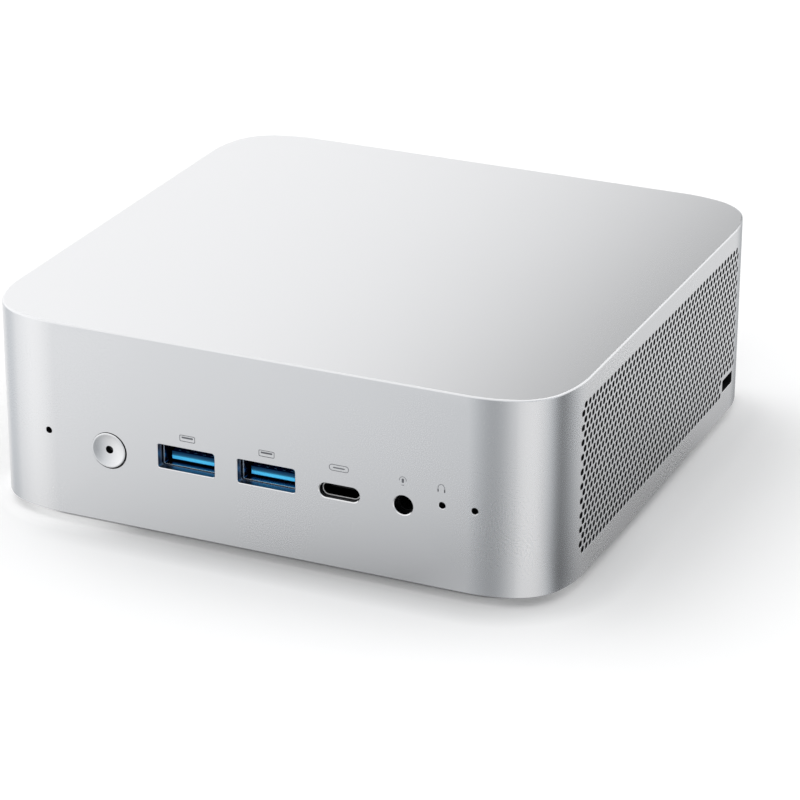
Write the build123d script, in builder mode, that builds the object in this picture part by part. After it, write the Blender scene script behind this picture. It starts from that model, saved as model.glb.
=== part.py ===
from build123d import *

import math
import os

# A small desktop computer in a one-piece aluminium shell, in millimetres.
# The origin is on the table under the middle of the case, +Z up. The front, with
# the power button, faces -Y, and +X is on the right of someone facing the front.

# ---------------------------------------------------------------- case
BODY_W = 135.0
BODY_D = 132.0
BODY_TOP = 46.9
BODY_BOTTOM = 2.0  # the shell's lower rim, held off the table by the feet
WALL = 2.0
TOP_CHAMFER = 0.45
PORT_CHAMFER = 0.15
SIDE_X = BODY_W / 2
REAR_Y = BODY_D / 2
FRONT_Y = -REAR_Y
INNER_TOP = BODY_TOP - WALL

# Each vertical corner turns through three tangent arcs: radius and turn in degrees.
CORNER_ARCS = ((30.0, 20.0), (12.5, 50.0), (30.0, 20.0))


def corner_reach():
    """How far each corner's curve runs along the side it starts from."""
    reach = 0.0
    heading = 0.0
    for radius, turn in CORNER_ARCS:
        end = heading + turn
        reach += radius * (math.sin(math.radians(end)) - math.sin(math.radians(heading)))
        heading = end
    return reach


CORNER_REACH = corner_reach()

# ---------------------------------------------------------------- side grilles
GRILLE_HOLE_R = 0.7
GRILLE_PITCH_Y = 2.1
GRILLE_PITCH_Z = 1.66
GRILLE_ROWS = 21
GRILLE_LOW_Z = 8.31
GRILLE_LONG_ROW = 48  # holes in each row that is shifted half a pitch
GRILLE_SHORT_ROW = 47
GRILLE_MID_Y = -0.3
GRILLE_SHORT_OF_SLOT_Y = 40.0  # the lowest rows stop here, beside the lock slot
GRILLE_ROWS_CUT_SHORT = 3

LOCK_Y, LOCK_Z = 44.85, 10.05
LOCK_W, LOCK_H, LOCK_R = 7.1, 3.0, 0.4

# ---------------------------------------------------------------- levels
COVER_BOTTOM = 2.3
COVER_T = 2.0
COVER_TOP = COVER_BOTTOM + COVER_T
COVER_GAP = 0.15
BOARD_BOTTOM = 23.0
BOARD_T = 1.6
BOARD_TOP = BOARD_BOTTOM + BOARD_T
BOARD_INSET = 4.0
TOUCH = 0.01  # left between a connector and the board above it

POST_X, POST_Y, POST_R = 56.5, 54.5, 3.5
THREAD_R = 1.45  # M3 screws and studs
TAPPED_R = 1.5
SMALL_THREAD_R = 0.95  # M2 screws
SMALL_TAPPED_R = 1.0

# ---------------------------------------------------------------- front ports
BUTTON_X, BUTTON_Z = -35.35, 19.1
BUTTON_HOLE_R, BUTTON_R = 4.25, 4.05
BUTTON_PROUD = 0.25
DISH_R, DISH_DEPTH = 3.7, 0.55
LIGHT_R = 0.9
USB_A_X = (-16.8, 2.2)
USB_A_Z = 20.15
USB_A_CUT = (13.55, 5.5, 0.55)
USB_A_OPEN = (12.5, 5.12)
SHELL_T = 0.28
SHELL_Y = FRONT_Y + 2.2  # front edges of the metal shells
USB_A_DEPTH = 14.0
TONGUE_Y = FRONT_Y + 3.9
TONGUE_Z = 18.9
TONGUE_W, TONGUE_T = 10.9, 1.84
USB_C_X, USB_C_Z = 19.25, 19.55
USB_C_CUT = (9.3, 3.25)
USB_C_OPEN = (8.34, 2.56)
USB_C_DEPTH = 7.4
JACK_X, JACK_Z = 33.9, 19.5
JACK_HOLE_R, JACK_BORE_R = 2.15, 1.8
JACK_END_Y = -50.0
PINHOLE_R = 0.75
MIC_X, MIC_Z = (-50.2, 50.0), 21.2
RESET_X, RESET_Z = 42.7, 21.15

# ---------------------------------------------------------------- rear ports
PANEL_W, PANEL_LOW, PANEL_HIGH, PANEL_R = 103.0, 5.4, 43.0, 3.0
PANEL_GAP = 0.1
PANEL_FACE_Y = 65.4
PANEL_STEP_Y = 63.4  # where the visible plate widens into its inner flange
PANEL_BACK_Y = 62.0
FLANGE = 1.5
PORT_PROUD = 0.25
PORT_FACE_Y = REAR_Y + PORT_PROUD
PORT_GAP = 0.15
DC_X, DC_W, DC_H, DC_Z, DC_BORE_R, DC_PIN_R = 45.0, 9.0, 11.0, 17.2, 3.15, 1.25
HDMI_X = (31.8, -29.0)
HDMI_W, HDMI_H, HDMI_DEPTH = 15.0, 6.0, 11.5
REAR_C_X, REAR_C_Z = 18.6, 20.5
RJ45_X = (4.9, -12.3)
RJ45_W, RJ45_H, RJ45_DEPTH = 15.9, 13.4, 21.0
RJ45_OPEN_W, RJ45_OPEN_H, RJ45_OPEN_DEPTH = 11.8, 8.2, 14.0
STACK_X, STACK_W, STACK_H, STACK_DEPTH = -43.4, 13.1, 15.6, 18.0
STACK_Z = (11.3, 19.1)
SLOT_W, SLOT_LOW, SLOT_HIGH, SLOT_PITCH, SLOTS = 2.0, 26.5, 41.0, 3.2, 29

# ---------------------------------------------------------------- cooling
FAN_X, FAN_Y = 0.0, 0.0
CAVITY_R = 38.0
TRAY_X, TRAY_FRONT_Y, TRAY_REAR_Y = 41.0, -41.0, 45.0
TRAY_BOTTOM, TRAY_FLOOR, TRAY_TOP = 31.9, 32.7, 41.6
LID_TOP = 42.4
INTAKE_R = 24.0
BLADE_R, HUB_R, BLADES = 33.0, 13.0, 37
BLADE_LOW, BLADE_HIGH, BLADE_T = 33.5, 40.9, 0.8
SHAFT_R = 1.0
BEARING_CLEARANCE = 0.03
CPU_X, CPU_Y = 0.0, 8.0
PACKAGE_TOP, DIE_TOP = 25.8, 26.5
PLATE_T = 2.0
PLATE_TOP = DIE_TOP + PLATE_T
PIPE_W, PIPE_T, PIPE_BEND_R = 7.0, 3.0, 12.0
PIPE_TOP = PLATE_TOP + PIPE_T
COOLER_SCREW_X, COOLER_SCREW_Y = 26.0, (-11.0, 27.0)
FIN_X, FIN_FRONT_Y, FIN_REAR_Y, FIN_TOP = 44.0, 45.5, 61.0, 42.4
FIN_PITCH, FIN_GAP = 1.6, 1.25

# ---------------------------------------------------------------- cards
MEMORY_X, MEMORY_W, MEMORY_REAR_Y = -23.4, 67.6, -18.0
MEMORY_D, MEMORY_T = 30.0, 1.2
MEMORY_Z = (19.2, 15.2)  # under side of each module's board
SSD_X, SSD_FRONT_Y, SSD_LENGTH = 47.0, -46.0, 80.0
RADIO_X, RADIO_FRONT_Y, RADIO_LENGTH = 23.0, 5.0, 30.0
CARD_W, CARD_T, CARD_Z = 22.0, 0.8, 19.6
CELL_X, CELL_Y, CELL_R = -43.0, 22.0, 10.0

FOOT_X, FOOT_Y, FOOT_R, FOOT_SUNK = 44.0, 43.0, 7.0, 0.5
INSERT_X, INSERT_R, INSERT_LENGTH = 37.5, 2.3, 4.2

FRONT_PLANE = Plane.XZ.offset(-FRONT_Y)  # local x is +X, local y is +Z, facing the user


def across(y):
    """A plane across the case at y, with local x along +X and local y along +Z."""
    return Plane.XZ.offset(-y)


def case_outline(inset):
    """The case's outline seen from above, drawn inset inside the outer surface."""
    with BuildSketch() as outline:
        with BuildLine():
            point = Vector(SIDE_X - inset, REAR_Y - CORNER_REACH)
            heading = 90.0
            for straight in (BODY_W - 2 * CORNER_REACH, BODY_D - 2 * CORNER_REACH) * 2:
                for radius, turn in CORNER_ARCS:
                    direction = (math.cos(math.radians(heading)), math.sin(math.radians(heading)))
                    bend = JernArc(point, direction, radius - inset, turn)
                    point = bend @ 1
                    heading += turn
                side = PolarLine(point, straight, heading)
                point = side @ 1
        make_face()
    return outline.sketch


def block(x, y, z, mode=Mode.ADD):
    """A box between two values along each axis."""
    centre = ((x[0] + x[1]) / 2, (y[0] + y[1]) / 2, (z[0] + z[1]) / 2)
    with Locations(centre):
        Box(x[1] - x[0], y[1] - y[0], z[1] - z[0], mode=mode)


def block_at(x, width, y, z, mode=Mode.ADD):
    """A box centred on x, between two values of y and of z."""
    block((x - width / 2, x + width / 2), y, z, mode)


def rod(x, y, z, radius, mode=Mode.ADD):
    """An upright cylinder between two heights."""
    with Locations((x, y, (z[0] + z[1]) / 2)):
        Cylinder(radius, z[1] - z[0], mode=mode)


def level_rod(x, z, y, radius, mode=Mode.ADD):
    """A cylinder along Y between two values of y."""
    with Locations((x, (y[0] + y[1]) / 2, z)):
        Cylinder(radius, abs(y[0] - y[1]), rotation=(90, 0, 0), mode=mode)


def window(x, z, width, height, radius, y, mode=Mode.SUBTRACT):
    """A prism along Y with a rounded rectangular section, between a high and a low y."""
    with BuildSketch(across(y[0])) as section:
        with Locations((x, z)):
            RectangleRounded(width, height, radius)
    extrude(section.sketch, amount=y[0] - y[1], mode=mode)


def grille_holes(first_y, last_y, beside_lock):
    """Centres of one side's holes, as (y, z), between two values of y."""
    centres = []
    for row in range(GRILLE_ROWS):
        count = GRILLE_SHORT_ROW if row % 2 == 0 else GRILLE_LONG_ROW
        z = GRILLE_LOW_Z + row * GRILLE_PITCH_Z
        for i in range(count):
            y = GRILLE_MID_Y + (i - (count - 1) / 2) * GRILLE_PITCH_Y
            blocked = beside_lock and row < GRILLE_ROWS_CUT_SHORT and y > GRILLE_SHORT_OF_SLOT_Y
            if first_y < y < last_y and not blocked:
                centres.append((y, z))
    return centres


def post_places():
    """The four corner posts, as (x, y)."""
    return [(x, y) for x in (-POST_X, POST_X) for y in (-POST_Y, POST_Y)]


def cooler_places():
    """The four cooler screws, as (x, y)."""
    return [(x, y) for x in (-COOLER_SCREW_X, COOLER_SCREW_X) for y in COOLER_SCREW_Y]


# ================================================================ casing
# The shell: top and four walls in one, open below, with a post in each corner.
with BuildPart() as housing:
    with BuildSketch(Plane.XY.offset(BODY_BOTTOM)):
        add(case_outline(0))
    extrude(amount=BODY_TOP - BODY_BOTTOM)
    chamfer(housing.faces().sort_by(Axis.Z)[-1].edges(), TOP_CHAMFER)
    with BuildSketch(Plane.XY.offset(BODY_BOTTOM)):
        add(case_outline(WALL))
    extrude(amount=INNER_TOP - BODY_BOTTOM, mode=Mode.SUBTRACT)
    with BuildSketch(Plane.XY.offset(BOARD_TOP)):
        with Locations(*post_places()):
            Circle(POST_R)
            Circle(TAPPED_R, mode=Mode.SUBTRACT)
    extrude(amount=INNER_TOP - BOARD_TOP)
    # rear opening, filled by the port panel
    window(0, (PANEL_LOW + PANEL_HIGH) / 2, PANEL_W, PANEL_HIGH - PANEL_LOW, PANEL_R,
           (REAR_Y + 1, REAR_Y - WALL - 1))
    # front cut-outs
    with BuildSketch(FRONT_PLANE):
        with Locations((BUTTON_X, BUTTON_Z)):
            Circle(BUTTON_HOLE_R)
        with Locations(*[(x, USB_A_Z) for x in USB_A_X]):
            RectangleRounded(*USB_A_CUT)
        with Locations((USB_C_X, USB_C_Z)):
            SlotOverall(*USB_C_CUT)
        with Locations((JACK_X, JACK_Z)):
            Circle(JACK_HOLE_R)
        with Locations((MIC_X[0], MIC_Z), (MIC_X[1], MIC_Z), (RESET_X, RESET_Z)):
            Circle(PINHOLE_R)
    extrude(amount=-WALL - 1, mode=Mode.SUBTRACT)
    port_edges = [
        edge
        for edge in housing.edges().filter_by_position(Axis.Y, FRONT_Y - TOUCH, FRONT_Y + TOUCH)
        if edge.center().Z < USB_A_Z + USB_A_CUT[1]
        and edge.center().Z > BODY_BOTTOM + 1
        and abs(edge.center().X) < RESET_X - 1
    ]
    chamfer(port_edges, PORT_CHAMFER)
    # lock slot and side grilles
    with BuildSketch(Plane.YZ.offset(SIDE_X)):
        with Locations((LOCK_Y, LOCK_Z)):
            RectangleRounded(LOCK_W, LOCK_H, LOCK_R)
        with Locations(*grille_holes(-POST_Y, POST_Y, True)):
            Circle(GRILLE_HOLE_R)
    extrude(amount=-WALL - 1, mode=Mode.SUBTRACT)
    with BuildSketch(Plane.YZ.offset(-SIDE_X)):
        with Locations(*grille_holes(-POST_Y, POST_Y, False)):
            Circle(GRILLE_HOLE_R)
    extrude(amount=WALL + 1, mode=Mode.SUBTRACT)

# The plate that closes the shell from below, with air slots and recesses for the feet.
VENT_X, VENT_Y, VENT_COLUMNS, VENT_ROWS = 4.0, 15.0, 14, 3
with BuildPart() as bottom_cover:
    with BuildSketch(Plane.XY.offset(COVER_BOTTOM)):
        add(case_outline(WALL + COVER_GAP))
        with GridLocations(VENT_X, VENT_Y, VENT_COLUMNS, VENT_ROWS):
            SlotOverall(12.0, 1.8, rotation=90, mode=Mode.SUBTRACT)
    extrude(amount=COVER_T)
    with BuildSketch(Plane.XY.offset(COVER_TOP)):
        with Locations((-INSERT_X, 0), (INSERT_X, 0)):
            Circle(INSERT_R + 1.5)
    extrude(amount=INSERT_LENGTH - COVER_T)
    with BuildSketch(Plane.XY.offset(COVER_BOTTOM)):
        with Locations((-INSERT_X, 0), (INSERT_X, 0)):
            Circle(INSERT_R)
    extrude(amount=INSERT_LENGTH, mode=Mode.SUBTRACT)
    for x, y in post_places():
        with Locations(Plane(origin=(x, y, COVER_BOTTOM), z_dir=(0, 0, -1))):
            CounterSinkHole(radius=TAPPED_R + 0.1, counter_sink_radius=2.9, depth=COVER_T)
    with BuildSketch(Plane.XY.offset(COVER_BOTTOM)):
        with GridLocations(2 * FOOT_X, 2 * FOOT_Y, 2, 2):
            Circle(FOOT_R + 0.1)
    extrude(amount=FOOT_SUNK, mode=Mode.SUBTRACT)

with BuildPart() as rubber_feet:
    with BuildSketch():
        with GridLocations(2 * FOOT_X, 2 * FOOT_Y, 2, 2):
            Circle(FOOT_R)
    extrude(amount=COVER_BOTTOM + FOOT_SUNK)
    chamfer(rubber_feet.faces().filter_by(Plane.XY).group_by(Axis.Z)[0].edges(), 0.5)

# Countersunk screws, head down, that hold the cover to the standoffs.
SCREW_HEAD_R, SCREW_END = 2.8, 11.0
with BuildPart() as cover_screws:
    with BuildSketch(Plane.XZ):
        with BuildLine():
            Polyline((0, COVER_BOTTOM + 0.8), (0.9, COVER_BOTTOM + 0.8), (0.9, COVER_BOTTOM + 0.05),
                     (SCREW_HEAD_R, COVER_BOTTOM + 0.05),
                     (THREAD_R, COVER_BOTTOM + 0.05 + SCREW_HEAD_R - THREAD_R),
                     (THREAD_R, SCREW_END), (0, SCREW_END), close=True)
        make_face()
    one_screw = revolve(axis=Axis.Z, mode=Mode.PRIVATE)
    with Locations(*post_places()):
        add(one_screw)

# Brass inserts in the cover, for the screws of a wall or monitor bracket.
with BuildPart() as bracket_inserts:
    with BuildSketch(Plane.XY.offset(COVER_BOTTOM)):
        with Locations((-INSERT_X, 0), (INSERT_X, 0)):
            Circle(INSERT_R)
            Circle(TAPPED_R, mode=Mode.SUBTRACT)
    extrude(amount=INSERT_LENGTH)

# The rear plate: a flange inside the wall, the visible plate, port holes and exhaust slots.
with BuildPart() as rear_panel:
    mid_z = (PANEL_LOW + PANEL_HIGH) / 2
    tall = PANEL_HIGH - PANEL_LOW
    window(0, mid_z, PANEL_W - 2 * PANEL_GAP, tall - 2 * PANEL_GAP, PANEL_R - PANEL_GAP,
           (PANEL_FACE_Y, PANEL_STEP_Y), mode=Mode.ADD)
    window(0, mid_z + 0.3, PANEL_W + 2 * FLANGE, tall + FLANGE, PANEL_R,
           (PANEL_STEP_Y, PANEL_BACK_Y), mode=Mode.ADD)
    through = (PANEL_FACE_Y + 1, PANEL_BACK_Y - 1)
    with BuildSketch(across(through[0])):
        with GridLocations(SLOT_PITCH, 1, SLOTS, 1):
            with Locations((0, (SLOT_LOW + SLOT_HIGH) / 2)):
                SlotOverall(SLOT_HIGH - SLOT_LOW, SLOT_W, rotation=90)
    extrude(amount=through[0] - through[1], mode=Mode.SUBTRACT)
    port_sizes = [(DC_X, DC_W, DC_H), (STACK_X, STACK_W, STACK_H)]
    port_sizes += [(x, HDMI_W, HDMI_H) for x in HDMI_X]
    port_sizes += [(x, RJ45_W, RJ45_H) for x in RJ45_X]
    for x, width, height in port_sizes:
        window(x, BOARD_BOTTOM - TOUCH - height / 2, width + 2 * PORT_GAP,
               height + 2 * PORT_GAP, 0.4, through)
    with BuildSketch(across(through[0])):
        with Locations((REAR_C_X, REAR_C_Z)):
            SlotOverall(USB_C_CUT[0], USB_C_CUT[1] + 0.25)
    extrude(amount=through[0] - through[1], mode=Mode.SUBTRACT)

# ================================================================ board
# Male-female standoffs clamp the board against the posts and take the cover screws.
with BuildPart() as standoffs:
    with BuildSketch(Plane.XY.offset(COVER_TOP)):
        with Locations(*post_places()):
            RegularPolygon(radius=2.9, side_count=6)
    extrude(amount=BOARD_BOTTOM - COVER_TOP)
    with BuildSketch(Plane.XY.offset(BOARD_BOTTOM)):
        with Locations(*post_places()):
            Circle(THREAD_R)
    extrude(amount=7.0)
    with BuildSketch(Plane.XY.offset(COVER_TOP)):
        with Locations(*post_places()):
            Circle(TAPPED_R)
    extrude(amount=9.0, mode=Mode.SUBTRACT)

with BuildPart() as motherboard:
    with BuildSketch(Plane.XY.offset(BOARD_BOTTOM)):
        add(case_outline(BOARD_INSET))
        with Locations(*post_places()):
            Circle(THREAD_R + 0.25, mode=Mode.SUBTRACT)
        with Locations(*cooler_places()):
            Circle(SMALL_THREAD_R + 0.25, mode=Mode.SUBTRACT)
    extrude(amount=BOARD_T)

CHOKE_X, CHOKE_SIZE, CHOKE_H, CHOKES = -47.0, 7.0, 4.0, 8
with BuildPart() as chokes:
    with Locations((CHOKE_X, FAN_Y, BOARD_TOP + CHOKE_H / 2)):
        with GridLocations(1, CHOKE_SIZE + 1.2, 1, CHOKES):
            Box(CHOKE_SIZE, CHOKE_SIZE, CHOKE_H)
    chamfer(chokes.edges().filter_by(Axis.Z), 0.8)

CAP_X, CAP_R, CAP_H, CAPS = 49.0, 3.15, 5.8, 7
with BuildPart() as capacitors:
    with BuildSketch(Plane.XY.offset(BOARD_TOP)):
        with Locations((CAP_X, FAN_Y)):
            with GridLocations(1, 2 * CAP_R + 1.4, 1, CAPS):
                Circle(CAP_R)
    extrude(amount=CAP_H)
    fillet(capacitors.faces().filter_by(Plane.XY).group_by(Axis.Z)[-1].edges(), 0.4)

# Controller chips: (x, y, side length), the first three above the board.
TOP_CHIPS = ((-54.0, -40.0, 9.0), (53.0, -42.0, 8.0), (54.0, 40.0, 6.0))
LOW_CHIPS = ((-2.0, 37.5, 7.0), (-13.5, 37.5, 7.0), (23.0, -32.0, 8.0), (23.0, -20.0, 5.0))
CHIP_H = 1.0
with BuildPart() as board_chips:
    for x, y, side in TOP_CHIPS:
        block_at(x, side, (y - side / 2, y + side / 2), (BOARD_TOP, BOARD_TOP + CHIP_H))
    for x, y, side in LOW_CHIPS:
        block_at(x, side, (y - side / 2, y + side / 2), (BOARD_BOTTOM - CHIP_H, BOARD_BOTTOM))

# ================================================================ cooling
with BuildPart() as cpu_package:
    block_at(CPU_X, 40.0, (CPU_Y - 12.5, CPU_Y + 12.5), (BOARD_TOP, PACKAGE_TOP))

with BuildPart() as cpu_die:
    block_at(CPU_X, 22.0, (CPU_Y - 6.0, CPU_Y + 6.0), (PACKAGE_TOP, DIE_TOP))

with BuildPart() as cold_plate:
    with BuildSketch(Plane.XY.offset(DIE_TOP)):
        with Locations((CPU_X, CPU_Y)):
            RectangleRounded(60.0, 46.0, 3.0)
        with Locations(*cooler_places()):
            Circle(SMALL_THREAD_R + 0.25, mode=Mode.SUBTRACT)
    extrude(amount=PLATE_T)

SPRING_T = 0.6
with BuildPart() as cooler_springs:
    with BuildSketch(Plane.XY.offset(PLATE_TOP)):
        with Locations(*[(CPU_X, y) for y in COOLER_SCREW_Y]):
            SlotOverall(2 * COOLER_SCREW_X + 7.0, 6.0)
        with Locations(*cooler_places()):
            Circle(SMALL_THREAD_R + 0.25, mode=Mode.SUBTRACT)
    extrude(amount=SPRING_T)

# A steel plate under the board that the cooler's screws pull against.
BACKPLATE_T = 1.0
with BuildPart() as cooler_backplate:
    with BuildSketch(Plane.XY.offset(BOARD_BOTTOM - BACKPLATE_T)):
        with Locations((CPU_X, CPU_Y)):
            RectangleRounded(60.0, 44.0, 3.0)
        with Locations(*cooler_places()):
            Circle(SMALL_TAPPED_R, mode=Mode.SUBTRACT)
        with Locations((RADIO_X, RADIO_FRONT_Y)):
            Circle(4.0, mode=Mode.SUBTRACT)
        with Locations((-8.0, CPU_Y)):
            RectangleRounded(26.0, 22.0, 2.0, mode=Mode.SUBTRACT)
    extrude(amount=BACKPLATE_T)

with BuildPart() as cooler_screws:
    with BuildSketch(Plane.XY.offset(BOARD_BOTTOM - BACKPLATE_T)):
        with Locations(*cooler_places()):
            Circle(SMALL_THREAD_R)
    extrude(amount=PLATE_TOP + SPRING_T - BOARD_BOTTOM + BACKPLATE_T)
    with BuildSketch(Plane.XY.offset(PLATE_TOP + SPRING_T)):
        with Locations(*cooler_places()):
            Circle(2.2)
    extrude(amount=1.4)
    fillet(cooler_screws.faces().filter_by(Plane.XY).group_by(Axis.Z)[-1].edges(), 0.3)

# Flat copper pipes, each from the cold plate round to its row under the fins.
PIPE_ROUTES = (
    ((-22.0, 2.0), (36.0, 2.0), (36.0, 57.0), (-42.0, 57.0)),
    ((22.0, 12.0), (-36.0, 12.0), (-36.0, 49.5), (28.0, 49.5)),
)
with BuildPart() as heat_pipes:
    for route in PIPE_ROUTES:
        with BuildLine(Plane.XY.offset(PLATE_TOP + PIPE_T / 2)) as route_line:
            FilletPolyline(*route, radius=PIPE_BEND_R)
        with BuildSketch(Plane(route_line.line @ 0, x_dir=(0, 1, 0), z_dir=route_line.line % 0)):
            RectangleRounded(PIPE_W, PIPE_T, PIPE_T * 0.48)
        sweep(path=route_line.line)

with BuildPart() as fin_stack:
    block((-FIN_X, FIN_X), (FIN_FRONT_Y, FIN_REAR_Y), (PIPE_TOP, FIN_TOP))
    low, high = PIPE_TOP + 0.35, FIN_TOP - 0.35
    with BuildSketch(across(FIN_FRONT_Y - 1)):
        with Locations((0, (low + high) / 2)):
            with GridLocations(FIN_PITCH, 1, int(2 * FIN_X / FIN_PITCH) - 1, 1):
                Rectangle(FIN_GAP, high - low)
    extrude(amount=FIN_FRONT_Y - FIN_REAR_Y - 2, mode=Mode.SUBTRACT)

TRAY_SCREW_PLACES = ((-36.5, -36.5), (36.5, -36.5))
TRAY_SCREW_H = 5.0
with BuildPart() as fan_tray:
    with BuildSketch(Plane.XY.offset(TRAY_BOTTOM)):
        with Locations((0, (TRAY_FRONT_Y + TRAY_REAR_Y) / 2)):
            RectangleRounded(2 * TRAY_X, TRAY_REAR_Y - TRAY_FRONT_Y, 3.0)
    extrude(amount=TRAY_TOP - TRAY_BOTTOM)
    with BuildSketch(Plane.XY.offset(TRAY_FLOOR)):
        with Locations((FAN_X, FAN_Y)):
            Circle(CAVITY_R)
        with Locations((FAN_X, TRAY_REAR_Y / 2 + 1)):
            Rectangle(2 * CAVITY_R, TRAY_REAR_Y + 2)
    extrude(amount=TRAY_TOP - TRAY_FLOOR, mode=Mode.SUBTRACT)
    with BuildSketch(Plane.XY.offset(TRAY_TOP)):
        with Locations(*TRAY_SCREW_PLACES):
            Circle(SMALL_TAPPED_R)
    extrude(amount=-TRAY_SCREW_H - 1, mode=Mode.SUBTRACT)

with BuildPart() as fan_lid:
    with BuildSketch(Plane.XY.offset(TRAY_TOP)):
        with Locations((0, (TRAY_FRONT_Y + TRAY_REAR_Y) / 2)):
            RectangleRounded(2 * TRAY_X, TRAY_REAR_Y - TRAY_FRONT_Y, 3.0)
        with Locations((FAN_X, FAN_Y)):
            Circle(INTAKE_R, mode=Mode.SUBTRACT)
        with Locations(*TRAY_SCREW_PLACES):
            Circle(SMALL_TAPPED_R + 0.1, mode=Mode.SUBTRACT)
    extrude(amount=LID_TOP - TRAY_TOP)

BEARING_R, BEARING_TOP = 2.5, 38.0
with BuildPart() as fan_bearing:
    rod(FAN_X, FAN_Y, (TRAY_FLOOR, BEARING_TOP), BEARING_R)
    rod(FAN_X, FAN_Y, (TRAY_FLOOR, BEARING_TOP), SHAFT_R + BEARING_CLEARANCE, mode=Mode.SUBTRACT)

# The coil carrier round the bearing: a ring with nine poles.
POLES, STATOR_R, STATOR_LOW, STATOR_HIGH = 9, 9.2, 33.6, 37.6
with BuildPart() as fan_stator:
    with BuildSketch(Plane.XY.offset(STATOR_LOW)):
        with Locations((FAN_X, FAN_Y)):
            Circle(4.6)
            with PolarLocations(6.6, POLES):
                Rectangle(4.6, 2.0)
            with PolarLocations(STATOR_R - 0.6, POLES):
                Rectangle(1.2, 4.4)
            Circle(BEARING_R + 0.02, mode=Mode.SUBTRACT)
    extrude(amount=STATOR_HIGH - STATOR_LOW)

MAGNET_R, MAGNET_T = 12.0, 1.6
HUB_ROOF = 39.9
with BuildPart() as fan_impeller:
    rod(FAN_X, FAN_Y, (BLADE_LOW, BLADE_HIGH), HUB_R)
    rod(FAN_X, FAN_Y, (BLADE_LOW, HUB_ROOF), MAGNET_R, mode=Mode.SUBTRACT)
    rod(FAN_X, FAN_Y, (BEARING_TOP + 0.4, HUB_ROOF), 2.4)
    rod(FAN_X, FAN_Y, (BEARING_TOP + 0.4, HUB_ROOF + 0.4), SHAFT_R, mode=Mode.SUBTRACT)
    fillet(fan_impeller.faces().sort_by(Axis.Z)[-1].edges(), 0.6)
    with BuildSketch(Plane.XY.offset(BLADE_LOW)):
        for i in range(BLADES):
            turn = i * 360 / BLADES
            with BuildLine():
                root = Vector(HUB_R - 0.4, 0).rotate(Axis.Z, turn)
                tip = Vector(BLADE_R, 0).rotate(Axis.Z, turn + 24)
                RadiusArc((root.X, root.Y), (tip.X, tip.Y), 30.0)
            trace(line_width=BLADE_T)
    extrude(amount=BLADE_HIGH - BLADE_LOW - 0.6)

with BuildPart() as fan_magnet:
    rod(FAN_X, FAN_Y, (BLADE_LOW + 0.3, HUB_ROOF - 0.5), MAGNET_R)
    rod(FAN_X, FAN_Y, (BLADE_LOW + 0.3, HUB_ROOF - 0.5), MAGNET_R - MAGNET_T, mode=Mode.SUBTRACT)

with BuildPart() as fan_shaft:
    rod(FAN_X, FAN_Y, (TRAY_FLOOR + 0.2, HUB_ROOF + 0.4), SHAFT_R)

# ================================================================ memory and cards
SOCKET_D, SOCKET_W, ARM_W = 7.0, 73.0, 2.0
MODULE_GAP = 0.1
with BuildPart() as memory_sockets:
    rear_y = MEMORY_REAR_Y + 3.0
    for low, top in ((MEMORY_Z[0] - 1.6, BOARD_BOTTOM), (MEMORY_Z[1] - 1.6, MEMORY_Z[0] - 1.7)):
        block_at(MEMORY_X, SOCKET_W, (rear_y - SOCKET_D, rear_y), (low, top))
        for side in (-1, 1):
            arm_x = MEMORY_X + side * (SOCKET_W - ARM_W) / 2
            block_at(arm_x, ARM_W, (rear_y - 22.0, rear_y - SOCKET_D), (low + 0.6, low + 2.4))
    block_at(MEMORY_X, SOCKET_W, (rear_y - 2.0, rear_y), (MEMORY_Z[0] - 1.8, MEMORY_Z[0] - 1.5))
    for z in MEMORY_Z:
        block_at(MEMORY_X, MEMORY_W + 2 * MODULE_GAP, (rear_y - SOCKET_D, MEMORY_REAR_Y + MODULE_GAP),
                 (z - MODULE_GAP, z + MEMORY_T + MODULE_GAP), mode=Mode.SUBTRACT)

with BuildPart() as memory_boards:
    for z in MEMORY_Z:
        block_at(MEMORY_X, MEMORY_W, (MEMORY_REAR_Y - MEMORY_D, MEMORY_REAR_Y), (z, z + MEMORY_T))

with BuildPart() as memory_chips:
    for z in MEMORY_Z:
        with Locations((MEMORY_X, MEMORY_REAR_Y - 17.0, z - 0.45)):
            with GridLocations(15.0, 1, 4, 1):
                Box(9.0, 11.0, 0.9)

CARDS = ((SSD_X, SSD_FRONT_Y, SSD_LENGTH), (RADIO_X, RADIO_FRONT_Y, RADIO_LENGTH))
with BuildPart() as card_sockets:
    for x, front_y, length in CARDS:
        rear_y = front_y + length
        block_at(x, CARD_W, (rear_y - 2.5, rear_y + 5.5), (CARD_Z - 1.0, BOARD_BOTTOM))
        block_at(x, CARD_W + 1, (rear_y - 3.5, rear_y + MODULE_GAP),
                 (CARD_Z - MODULE_GAP, CARD_Z + CARD_T + MODULE_GAP), mode=Mode.SUBTRACT)

# The end of each card rests under a brass standoff and is held by one screw.
NOTCH_R = 1.75
with BuildPart() as ssd_board:
    block_at(SSD_X, CARD_W, (SSD_FRONT_Y, SSD_FRONT_Y + SSD_LENGTH), (CARD_Z, CARD_Z + CARD_T))
    rod(SSD_X, SSD_FRONT_Y, (CARD_Z - 1, CARD_Z + CARD_T + 1), NOTCH_R, mode=Mode.SUBTRACT)

with BuildPart() as ssd_chips:
    for y, depth in ((-31.0, 14.0), (-9.0, 14.0), (12.0, 12.0)):
        block_at(SSD_X, 16.0, (y - depth / 2, y + depth / 2), (CARD_Z - 1.2, CARD_Z))

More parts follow.
